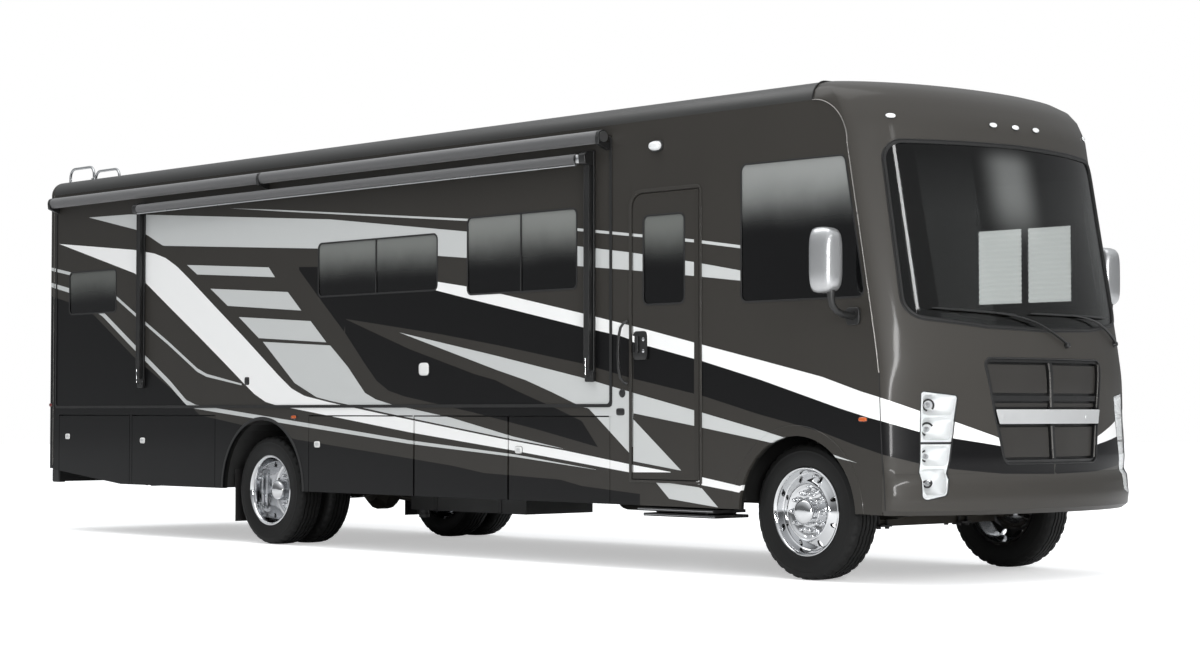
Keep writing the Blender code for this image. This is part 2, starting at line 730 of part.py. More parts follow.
def lamp_bowl(centre, radius):
    """A round recess that opens forward, narrower at its foot."""
    rings = []
    for forward, share in ((-0.030, 0.45), (0.005, 0.85), (0.15, 1.0)):
        rings.append([
            (centre[0] + forward, centre[1] + radius * share * math.cos(math.tau * k / 16),
             centre[2] + radius * share * math.sin(math.tau * k / 16))
            for k in range(16)
        ])
    return loft(rings)


def make_mirror():
    """Curb-side mirror: foot on the wall, bent arm and a tall rounded head."""
    outer = -HALF_WIDTH - SEAT
    head_y = outer - MIRROR_REACH
    foot = box((4.84, outer - 0.02, 1.70), (4.94, outer, 1.80))
    arm = tube([(4.89, outer - 0.005, 1.75), (4.888, outer - 0.13, 1.76), (4.886, head_y + 0.015, 1.83),
                (4.886, head_y + 0.005, 1.95)], MIRROR_ARM)
    rings = []
    for share, x in MIRROR_HEAD:
        wide, tall = MIRROR_HALF_WIDE * share, MIRROR_HALF_TALL * (0.5 + 0.5 * share)
        outline = rectangle(head_y - wide, head_y + wide, MIRROR_Z - tall, MIRROR_Z + tall, 0.055 * share)
        rings.append([(x, y, z) for y, z in outline])
    head = loft(rings)
    return name_part(fuse(head, arm, foot), "mirror_curb", "white")


def make_wiper(name, pivot_y, pivot_z, tip_y, tip_z):
    """Pivot boss, arm and blade, lying just off the glass."""
    points = []
    for k in range(7):
        share = k / 6
        y = pivot_y + (tip_y - pivot_y) * share
        z = pivot_z + (tip_z - pivot_z) * share
        points.append(Vector(cap_point(y, z, 0.022)))
    boss_x = cap_point(pivot_y, pivot_z)[0]
    boss = cylinder((pivot_y, pivot_z), 0.02, "x", boss_x - 0.05, boss_x + 0.04, 12)
    cut(boss, cap_solid(-SEAT))
    return name_part(fuse(tube(points, 0.008, 6), boss), name, "black")


def make_slide_room():
    outer = -HALF_WIDTH
    room = box((SLIDE_X[0], outer, SLIDE_Z[0]), (SLIDE_X[1], SLIDE_INNER_Y, SLIDE_Z[1]))
    hollow = box((SLIDE_X[0] + SLIDE_SKIN, outer + WALL, SLIDE_Z[0] + SLIDE_SKIN),
                 (SLIDE_X[1] - SLIDE_SKIN, SLIDE_INNER_Y + 0.1, SLIDE_Z[1] - SLIDE_SKIN))
    cut(room, hollow)
    for name, *edges in SLIDE_WINDOWS:
        cut(room, through_wall(rectangle(*edges, WINDOW_CORNER), -1))
        glass_pane(name, rectangle(*edges, WINDOW_CORNER), -1)
    return name_part(room, "slide_room", "charcoal")


def make_awning():
    """Patio awning, rolled up: two folded arms and the roller between their heads."""
    outer = -HALF_WIDTH - SEAT
    roller_y, roller_z = outer - 0.072, 2.968
    parts = []
    for x in AWNING_ARMS:
        parts.append(box((x - 0.042, outer - 0.022, AWNING_ARM_Z[0]), (x + 0.042, outer, AWNING_ARM_Z[1])))
        parts.append(box((x - 0.028, outer - 0.055, AWNING_ARM_Z[0] + 0.05),
                         (x + 0.028, outer - 0.02, AWNING_ARM_Z[1] - 0.05)))
        parts.append(box((x - 0.035, outer - 0.11, roller_z - 0.055),
                         (x + 0.035, outer - 0.01, roller_z + 0.055)))
    roller = cylinder((roller_y, roller_z), 0.042, "x", AWNING_ARMS[0], AWNING_ARMS[1], 16)
    return name_part(fuse(roller, *parts), "awning", "black")


def make_topper():
    """Roller of the cover that follows the slide room out, on three brackets."""
    outer = -HALF_WIDTH - SEAT
    roller_y, roller_z, radius = outer - 0.062, SLIDE_Z[1] - 0.005, 0.05
    parts = []
    for x in TOPPER_BRACKETS:
        parts.append(box((x - 0.02, roller_y - 0.02, roller_z - 0.085), (x + 0.02, outer, roller_z - 0.015)))
    roller = cylinder((roller_y, roller_z), radius, "x", TOPPER_X[0], TOPPER_X[1], 16)
    return name_part(fuse(roller, *parts), "slide_topper", "black")


def bay_outline(low, high):
    outline = [(low, skirt_z(low)), (high, skirt_z(high)), (high, BAY_DOOR_TOP), (low, BAY_DOOR_TOP)]
    if low < KICK_X < high:
        outline.insert(1, (KICK_X, SKIRT_Z))
    return outline


def make_bay_doors(bays, side):
    for name, low, high in bays:
        outer, inner = side * HALF_WIDTH, side * (HALF_WIDTH - BAY_DOOR_THICK)
        door = prism(bay_outline(low, high), "y", *sorted((outer, inner)))
        name_part(door, name, "charcoal")


def make_bays(side, name):
    """Trays under the floor behind the bay doors, joined by the rear wheel's housing."""
    edge = HALF_WIDTH - WALL - SEAT
    low_y, high_y = sorted((side * BAY_INNER_Y, side * edge))
    pocket_y = sorted((side * (BAY_INNER_Y + BAY_SKIN), side * (edge + 0.1)))
    arch_x, arch_z, radius = REAR_ARCH
    groups = [
        (CURB_BAYS[:2], BAY_FLOOR_REAR_Z, CURB_BAYS[0][1] - BAY_SKIN, arch_x - radius + 0.1),
        (CURB_BAYS[2:], BAY_FLOOR_Z, arch_x + radius - 0.1, CURB_BAYS[-1][2] + BAY_SKIN),
    ]
    trays, pockets = [], []
    for bays, floor_z, low_x, high_x in groups:
        trays.append(box((low_x, low_y, floor_z), (high_x, high_y, FLOOR_LOW - SEAT)))
        for bay, low, high in bays:
            pockets.append(box((low + BAY_SKIN, pocket_y[0], floor_z + BAY_SKIN),
                               (high - BAY_SKIN, pocket_y[1], FLOOR_LOW + 0.1)))
    housing = cylinder((arch_x, arch_z), radius + BAY_SKIN, "y", low_y, high_y, 32)
    lower = box((arch_x - 1, -2, -1), (arch_x + 1, 2, arch_z))
    upper = box((arch_x - 1, -2, FLOOR_LOW - SEAT), (arch_x + 1, 2, 2))
    wheel_room = cylinder((arch_x, arch_z), radius, "y", -2, 2, 32)
    fuse(trays[0], trays[1], cut(housing, lower, upper))
    cut(trays[0], wheel_room, *pockets)
    return name_part(trays[0], name, "black")


def make_floor():
    plate = box((REAR_X + REAR_CAP_DEPTH, -HALF_WIDTH + WALL + SEAT, FLOOR_LOW),
                (FLOOR_FRONT, HALF_WIDTH - WALL - SEAT, FLOOR_TOP))
    well_low = (DOOR_X[0] + 0.03, -HALF_WIDTH + WALL + SEAT, DOOR_Z[0] - 0.01)
    well_high = (DOOR_X[1] - 0.01, -0.62, FLOOR_TOP)
    well = box(well_low, well_high)
    fuse(plate, well)
    skin = 0.02
    lower = box((well_low[0] + skin, -HALF_WIDTH, well_low[2] + skin),
                (well_high[0] - skin, -0.94, FLOOR_TOP + 0.1))
    upper = box((well_low[0] + skin, -HALF_WIDTH, well_low[2] + skin + 0.22),
                (well_high[0] - skin, well_high[1] - skin, FLOOR_TOP + 0.1))
    cut(plate, lower, upper)
    runners = []
    for x in (-4.6, -1.4, 1.9):
        runners.append(box((x - 0.05, -1.20, FLOOR_TOP - 0.01), (x + 0.05, -0.45, SLIDE_Z[0] - SEAT)))
    fuse(plate, *runners)
    guides = [box((x - 0.03, -1.20, 0.56), (x + 0.03, -0.75, well_low[2] + 0.01)) for x in STEP_ARMS_X]
    fuse(plate, *guides)
    return name_part(plate, "floor_pan", "trim")


def make_entry_step():
    """Two treads, one under the other, on a pair of arms that run in guides."""
    upper = box((STEP_X[0], -1.27, 0.428), (STEP_X[1], -0.95, 0.450))
    lower = box((STEP_X[0] + 0.02, -1.23, 0.390), (STEP_X[1] - 0.02, -0.90, 0.412))
    webs = [box((x - 0.01, -1.20, 0.40), (x + 0.01, -0.92, 0.44)) for x in (2.95, 3.45)]
    arms = [box((x - 0.02, -1.15, 0.438), (x + 0.02, -0.80, 0.456)) for x in STEP_ARMS_X]
    shoes = [box((x - 0.02, -0.92, 0.45), (x + 0.02, -0.80, 0.56 - SEAT)) for x in STEP_ARMS_X]
    return name_part(fuse(upper, lower, *webs, *arms, *shoes), "entry_step", "steel")


def make_chassis():
    rails = []
    for side in (-1, 1):
        low_y, high_y = side * RAIL_Y - RAIL_WIDTH / 2, side * RAIL_Y + RAIL_WIDTH / 2
        rail = box((RAIL_REAR, low_y, RAIL_LOW), (RAIL_FRONT, high_y, RAIL_HIGH))
        open_y = sorted((side * (RAIL_Y - RAIL_WIDTH / 2 - 0.01), side * (RAIL_Y + RAIL_WIDTH / 2 - 0.012)))
        cut(rail, box((RAIL_REAR + 0.1, open_y[0], RAIL_LOW + 0.012),
                      (RAIL_FRONT - 0.1, open_y[1], RAIL_HIGH - 0.012)))
        rails.append(rail)
    web_y = RAIL_Y + RAIL_WIDTH / 2 - 0.006
    members = [
        box((x - 0.04, -web_y, RAIL_LOW + 0.02), (x + 0.04, web_y, RAIL_LOW + 0.10)) for x in CROSSMEMBERS
    ]
    risers = [
        box((x - 0.03, side * RAIL_Y - 0.03, RAIL_HIGH - 0.005), (x + 0.03, side * RAIL_Y + 0.03, FLOOR_LOW - SEAT))
        for x in RISERS for side in (-1, 1)
    ]
    flaps = [box((FLAP_X - 0.01, -FLAP_Y[1], 0.60), (FLAP_X + 0.01, FLAP_Y[1], 0.63))]
    for side in (-1, 1):
        near, far = sorted((side * FLAP_Y[0], side * FLAP_Y[1]))
        flaps.append(box((FLAP_X - 0.006, near, FLAP_LOW), (FLAP_X + 0.006, far, 0.62)))
    pads = [
        box((x - JACK_PAD / 2, side * RAIL_Y - JACK_PAD / 2, RAIL_LOW - 0.02),
            (x + JACK_PAD / 2, side * RAIL_Y + JACK_PAD / 2, RAIL_LOW + 0.008))
        for x in JACK_PAD_X for side in (-1, 1)
    ]
    frame = fuse(rails[0], rails[1], *members, *risers, *flaps, *pads)
    return name_part(frame, "chassis_frame", "steel")


def make_rear_bumper():
    low, high = REAR_X - 0.13, REAR_X - SEAT
    outline = rounded([(low, 0.46, 0.03), (high, 0.46, 0.0), (high, 0.585, 0.0), (low, 0.585, 0.03)])
    bumper = prism(outline, "y", -1.15, 1.15)
    receiver = box((low - 0.01, -0.035, 0.40), (REAR_X + 0.6, 0.035, 0.47))
    collar = box((low - 0.015, -0.045, 0.39), (low + 0.02, 0.045, 0.48))
    brackets = [box((REAR_X - 0.02, side * RAIL_Y - 0.03, 0.48), (REAR_X + 0.25, side * RAIL_Y + 0.03, RAIL_LOW - SEAT))
                for side in (-1, 1)]
    return name_part(fuse(bumper, receiver, collar, *brackets), "rear_bumper", "black")


def make_ladder():
    top_z = LADDER_TOP
    wall_x = REAR_X - SEAT
    roof_z = WALL_TOP + ROOF_ROUND + ROOF_CROWN * 0.3
    rails = []
    for y in LADDER_Y:
        points = [(LADDER_X, y, LADDER_FOOT), (LADDER_X, y, top_z - 0.08), (LADDER_X + 0.03, y, top_z - 0.02),
                  (LADDER_X + 0.09, y, top_z), (-5.20, y, top_z), (-5.14, y, top_z - 0.02),
                  (-5.11, y, top_z - 0.08), (-5.11, y, roof_z + 0.03)]
        rails.append(tube(points, LADDER_TUBE))
    rungs = []
    for k in range(LADDER_RUNGS):
        z = LADDER_FOOT + 0.10 + k * 0.29
        rungs.append(tube([(LADDER_X, LADDER_Y[0], z), (LADDER_X, LADDER_Y[1], z)], LADDER_TUBE * 0.9))
    stays = []
    for y in LADDER_Y:
        for z in (1.20, 2.10, 3.00):
            stays.append(tube([(LADDER_X, y, z), (wall_x, y, z)], 0.010))
        stays.append(box((-5.135, y - 0.02, roof_z + 0.012), (-5.085, y + 0.02, roof_z + 0.035)))
    return name_part(fuse(rails[0], rails[1], *rungs, *stays), "ladder", "chrome")


def make_air_conditioner(name, x):
    """Low roof unit: a tapered shroud on a flat base."""
    low = WALL_TOP + ROOF_ROUND + ROOF_CROWN + SEAT
    rings = []
    for rise, share_x, share_y in SHROUD:
        long, wide = SHROUD_HALF_LONG * share_x, SHROUD_HALF_WIDE * share_y
        outline = rectangle(x - long, x + long, -wide, wide, 0.08 * share_y)
        rings.append([(a, b, low + rise) for a, b in outline])
    return name_part(loft(rings), name, "black")


def make_dashboard():
    outline = [(4.55, 1.13 + SEAT), (4.80, 1.13 + SEAT), (4.82, 1.45), (4.92, 1.60), (4.86, 1.70), (4.62, 1.72),
               (4.52, 1.62), (4.50, 1.45), (4.62, 1.35)]
    reach = HALF_WIDTH - WALL - DASH_GAP
    dash = prism(outline, "y", -reach, reach)
    column = tube([(4.60, 0.55, 1.50), (4.32, 0.55, 1.62)], 0.03)
    wheel = steering_ring((4.30, 0.55, 1.63))
    spokes = [tube([(4.31, 0.55, 1.625), (4.29, 0.55 + dy, 1.63 + dz)], 0.016)
              for dy, dz in ((-0.20, 0.0), (0.20, 0.0))]
    return name_part(fuse(dash, column, wheel, *spokes), "dashboard", "black")


def steering_ring(centre):
    """A ring of round section, tilted towards the driver."""
    work = bmesh.new()
    tilt = Matrix.Rotation(math.radians(-25), 3, "Y")
    rings = []
    for i in range(24):
        angle = math.tau * i / 24
        ring = []
        for k in range(6):
            turn = math.tau * k / 6
            radius = 0.205 + 0.016 * math.cos(turn)
            point = Vector((0.016 * math.sin(turn), radius * math.cos(angle), radius * math.sin(angle)))
            ring.append(work.verts.new(tilt @ point + Vector(centre)))
        rings.append(ring)
    for i in range(24):
        near, far = rings[i], rings[(i + 1) % 24]
        for k in range(6):
            j = (k + 1) % 6
            work.faces.new((near[k], near[j], far[j], far[k]))
    return solid(work)


def make_seat(side, name):
    """Captain's seat on a pedestal."""
    y = side * 0.55
    x = 3.80
    base = box((x - 0.15, y - 0.18, FLOOR_TOP + SEAT), (x + 0.20, y + 0.18, FLOOR_TOP + 0.33))
    cushion = prism(rectangle(x - 0.27, x + 0.28, FLOOR_TOP + 0.32, FLOOR_TOP + 0.47, 0.04), "y", y - 0.26, y + 0.26)
    back = rounded([(x - 0.30, FLOOR_TOP + 0.40, 0.03), (x - 0.16, FLOOR_TOP + 0.44, 0.03),
                    (x - 0.27, FLOOR_TOP + 1.10, 0.04), (x - 0.40, FLOOR_TOP + 1.08, 0.04)])
    backrest = prism(back, "y", y - 0.24, y + 0.24)
    arms = [prism(rectangle(x - 0.28, x + 0.16, FLOOR_TOP + 0.62, FLOOR_TOP + 0.69, 0.025), "y",
                  *sorted((y + way * 0.24, y + way * 0.31))) for way in (-1, 1)]
    return name_part(fuse(cushion, base, backrest, *arms), name, "trim")


def make_engine():
    low = RAIL_LOW + 0.10 + SEAT
    block = box((4.02, -0.30, low), (4.90, 0.30, FLOOR_LOW - 0.01))
    foot = box((3.98, -0.20, low), (4.10, 0.20, low + 0.1))
    return name_part(fuse(block, foot), "engine_block", "steel")


def make_tank():
    tank = box((-0.95, -0.36, 0.30), (0.55, 0.36, RAIL_LOW + 0.02 - SEAT))
    return name_part(tank, "waste_tank", "black")


def leaf_spring(axle_x, side, length, drop, high):
    """A bowed leaf pack with its ends under the frame rail."""
    y = side * RAIL_Y
    outline = []
    for lift in (0.0, 0.035):
        row = []
        for k in range(9):
            share = k / 4 - 1.0
            row.append((axle_x + share * length, high - drop * (1 - share * share) + lift - 0.035))
        outline += row if lift == 0.0 else list(reversed(row))
    return prism(outline, "y", y - 0.035, y + 0.035)


def make_front_axle():
    beam_half = KINGPIN_HALF - 0.13
    beam = box((FRONT_AXLE_X - 0.045, -beam_half, 0.34), (FRONT_AXLE_X + 0.045, beam_half, 0.44))
    parts = []
    for side in (-1, 1):
        near, far = sorted((side * (beam_half - 0.04), side * (KINGPIN_HALF - 0.01)))
        parts.append(box((FRONT_AXLE_X - 0.04, near, 0.405), (FRONT_AXLE_X + 0.04, far, 0.51)))
        parts.append(cylinder((FRONT_AXLE_X, side * KINGPIN_HALF), 0.04, "z", 0.40, 0.52, 16))
        parts.append(leaf_spring(FRONT_AXLE_X, side, 0.62, 0.09, RAIL_LOW - SEAT))
    return name_part(fuse(beam, *parts), "front_axle", "steel")


def make_knuckle(side, name):
    """Yoke round the kingpin boss, and the spindle that carries the hub."""
    y = side * KINGPIN_HALF
    lugs = [cylinder((FRONT_AXLE_X, y), 0.042, "z", 0.52 + SEAT, 0.55, 16),
            cylinder((FRONT_AXLE_X, y), 0.042, "z", 0.37, 0.40 - SEAT, 16)]
    near, far = sorted((side * (KINGPIN_HALF + 0.05), side * (KINGPIN_HALF + 0.085)))
    plate = box((FRONT_AXLE_X - 0.05, near, 0.37), (FRONT_AXLE_X + 0.05, far, 0.55))
    webs = []
    for low, high in ((0.52 + SEAT, 0.55), (0.37, 0.40 - SEAT)):
        web_y = sorted((y, side * (KINGPIN_HALF + 0.06)))
        webs.append(box((FRONT_AXLE_X - 0.035, web_y[0], low), (FRONT_AXLE_X + 0.035, web_y[1], high)))
    hub_face = FRONT_TRACK_HALF + 0.005 - SEAT
    spindle = cylinder((FRONT_AXLE_X, AXLE_Z), 0.035, "y",
                       *sorted((side * (KINGPIN_HALF + 0.07), side * hub_face)), 16)
    return name_part(fuse(plate, *lugs, *webs, spindle), name, "steel")


def make_rear_axle():
    reach = REAR_OUTER_HALF + REAR_RIM[-1][1] - SEAT     # to the inner end of the twin rims' hub
    axle = cylinder((REAR_AXLE_X, AXLE_Z), 0.065, "y", -reach, reach, 16)
    case = turned([(0.0, -0.16), (0.12, -0.14), (0.19, -0.06), (0.19, 0.06), (0.12, 0.14), (0.0, 0.16)],
                  REAR_AXLE_X, AXLE_Z, 16)
    nose = tube([(REAR_AXLE_X + 0.1, 0, AXLE_Z + 0.02), (REAR_AXLE_X + 0.34, 0, AXLE_Z + 0.04)], 0.07)
    parts = [case, nose]
    for side in (-1, 1):
        parts.append(leaf_spring(REAR_AXLE_X, side, 0.75, 0.10, RAIL_LOW - SEAT))
    return name_part(fuse(axle, *parts), "rear_axle", "steel")


def make_tyre(x, y):
    """A tyre that stands on a flat facet; its radii are measured to the facets."""
    grow = 1.0 / math.cos(math.pi / WHEEL_STEPS)
    profile = [(radius * grow, y + across) for radius, across in TYRE]
    return turned(profile, x, AXLE_Z, half_turn=True, ends_on_axis=False)


def make_rim(profile, x, y, side, hole_radius, hole_circle, hole_reach):
    rim = turned([(radius, y + side * out) for radius, out in profile], x, AXLE_Z)
    holes = []
    for k in range(HAND_HOLES):
        angle = math.tau * (k + 0.5) / HAND_HOLES
        centre = (x + hole_circle * math.cos(angle), AXLE_Z + hole_circle * math.sin(angle))
        reach = sorted((y + side * hole_reach[0], y + side * hole_reach[1]))
        holes.append(cylinder(centre, hole_radius, "y", reach[0], reach[1], 12))
    return cut(rim, *holes)


def make_wheels():
    for side, word in ((-1, "curb"), (1, "street")):
        y = side * FRONT_TRACK_HALF
        name_part(make_rim(FRONT_RIM, FRONT_AXLE_X, y, side, 0.022, 0.215, (0.0, 0.2)),
                  "front_rim_" + word, "chrome")
        name_part(make_tyre(FRONT_AXLE_X, y), "front_tyre_" + word, "rubber")
        y = side * REAR_OUTER_HALF
        rims = make_rim(REAR_RIM, REAR_AXLE_X, y, side, 0.026, 0.195, (-0.25, 0.0))
        name_part(rims, "rear_rims_" + word, "chrome")
        name_part(make_tyre(REAR_AXLE_X, y), "rear_outer_tyre_" + word, "rubber")
        name_part(make_tyre(REAR_AXLE_X, y - side * DUAL_SPACING), "rear_inner_tyre_" + word, "rubber")


def build():
    clear_scene()
    make_side_wall(-1, "curb_wall", [], CURB_BAYS)
    make_side_wall(1, "street_wall", STREET_WINDOWS, STREET_BAYS)
    for name, *edges in STREET_WINDOWS:
        glass_pane(name, rectangle(*edges, WINDOW_CORNER), 1)
    glass_pane("cab_glass_curb", rounded(CAB_WINDOW), -1)
    glass_pane("cab_glass_street", rounded(CAB_WINDOW), 1)
    make_roof()
    make_rear_cap()
    make_front_cap()
    make_windscreen()
    make_grille()
    make_headlamp(-1, "headlamp_curb")
    make_headlamp(1, "headlamp_street")
    mirrored(make_mirror(), "mirror_street")
    for row in WIPERS:
        make_wiper(*row)
    make_slide_room()
    make_awning()
    make_topper()
    make_entry_door()
    make_entry_step()
    make_bay_doors(CURB_BAYS, -1)
    make_bay_doors(STREET_BAYS, 1)
    make_bays(-1, "baggage_bays_curb")
    make_bays(1, "baggage_bays_street")
    make_floor()
    make_chassis()
    make_rear_bumper()
    make_ladder()
    for name, x in AIR_CONDITIONERS:
        make_air_conditioner(name, x)
    make_dashboard()
    make_seat(1, "seat_driver")
    make_seat(-1, "seat_passenger")
    make_engine()
    make_tank()
    make_front_axle()
    make_knuckle(-1, "knuckle_curb")
    make_knuckle(1, "knuckle_street")
    make_rear_axle()
    make_wheels()


build()
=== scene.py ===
# %% [markdown]
# # A motorhome in charcoal paint, dressed over its CAD frame
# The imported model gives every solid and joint. This script paints those solids, swaps the plain wheels,
# lamps and seats for detailed ones, adds the trim that a CAD model leaves out, and lights it as in a
# catalogue picture. Axes: X runs forward, Y to the street side, Z up, in metres, with the ground at Z 0.

from math import asin, copysign, cos, exp, hypot, pi, radians, sin, tan, tau

import bmesh
import bpy
from mathutils import Matrix, Vector


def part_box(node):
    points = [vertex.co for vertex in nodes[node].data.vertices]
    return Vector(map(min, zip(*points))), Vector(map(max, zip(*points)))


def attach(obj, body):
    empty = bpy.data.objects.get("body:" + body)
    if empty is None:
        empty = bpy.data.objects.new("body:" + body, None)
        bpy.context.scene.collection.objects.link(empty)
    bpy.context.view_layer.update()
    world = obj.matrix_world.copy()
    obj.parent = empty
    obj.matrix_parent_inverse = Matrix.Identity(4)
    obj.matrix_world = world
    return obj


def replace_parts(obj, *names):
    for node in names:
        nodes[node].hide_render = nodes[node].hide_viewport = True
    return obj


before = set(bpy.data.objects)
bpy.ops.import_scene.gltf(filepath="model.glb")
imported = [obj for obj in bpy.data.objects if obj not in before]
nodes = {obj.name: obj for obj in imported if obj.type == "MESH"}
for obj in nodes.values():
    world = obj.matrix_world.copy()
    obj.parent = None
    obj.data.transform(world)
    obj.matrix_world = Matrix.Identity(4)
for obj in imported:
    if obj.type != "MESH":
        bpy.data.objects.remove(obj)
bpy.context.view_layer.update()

# %% [markdown]
# ## Shader helpers
# Colours are written as sRGB hex and turned into linear light once. One function adds a node, sets it and
# wires it.


# %% Colour and node helpers
def linear(code):
    """An sRGB hex colour as linear red, green, blue and alpha."""
    levels = [int(code[i:i + 2], 16) / 255 for i in (1, 3, 5)]
    return (*(v / 12.92 if v <= 0.04045 else ((v + 0.055) / 1.055) ** 2.4 for v in levels), 1.0)


def add(tree, kind, inputs=None, **settings):
    """Adds a shader node. settings are its properties, inputs maps sockets to values, sockets or nodes."""
    node = tree.nodes.new("ShaderNode" + kind)
    for key, value in settings.items():
        setattr(node, key, value)
    for key, value in (inputs or {}).items():
        target = node.inputs[key] if isinstance(key, int) else next(
            s for s in node.inputs if s.enabled and s.name == key)
        if isinstance(value, bpy.types.Node):
            value = next(s for s in value.outputs if s.enabled)
        if isinstance(value, bpy.types.NodeSocket):
            tree.links.new(value, target)
        else:
            target.default_value = value
    return node


def shader(name, **settings):
    """A new material with one principled shader. Returns the material, its node tree and the shader."""
    made = bpy.data.materials.new(name)
    made.use_nodes = True
    tree = made.node_tree
    surface = tree.nodes["Principled BSDF"]
    for key, value in settings.items():
        surface.inputs[key.replace("_", " ")].default_value = value
    return made, tree, surface


print("charcoal #3c3a37 is", [round(v, 4) for v in linear("#3c3a37")[:3]], "in linear light")

# %% [markdown]
# ## Plain finishes
# Most surfaces differ in colour, gloss and grain. Each row gives two tones that drift into each other over
# patches, the roughness and how far it wanders, the size of the grain and its height in millimetres. The
# line above a row says what the finish gives the eye. Pores, threads and grit finer than half a millimetre
# would not show at this distance, so they are drawn coarser than they are.


# %% Finishes from one table
def finish(name, tone, other, rough, wander, grain_mm, height_mm, patch_mm=400, **settings):
    """A surface with drifting tone, uneven gloss and a fine grain, all sized in millimetres."""
    made, tree, surface = shader(name, **settings)
    place = add(tree, "TexCoord").outputs["Object"]
    patch = add(tree, "TexNoise", {"Vector": place, "Scale": 1000 / patch_mm, "Detail": 4.0})
    grain = add(tree, "TexNoise", {"Vector": place, "Scale": 1000 / grain_mm, "Detail": 3.0})
    tint = add(tree, "Mix", {"Factor": patch, "A": linear(tone), "B": linear(other)}, data_type="RGBA")
    gloss = add(tree, "MapRange", {"Value": patch, "From Min": 0.3, "From Max": 0.7,
        "To Min": rough - wander, "To Max": rough + wander})
    relief = add(tree, "Bump", {"Height": grain, "Distance": height_mm / 1000, "Strength": 1.0})
    for key, value in (("Base Color", tint), ("Roughness", gloss), ("Normal", relief)):
        tree.links.new(next(s for s in value.outputs if s.enabled), surface.inputs[key])
    return made


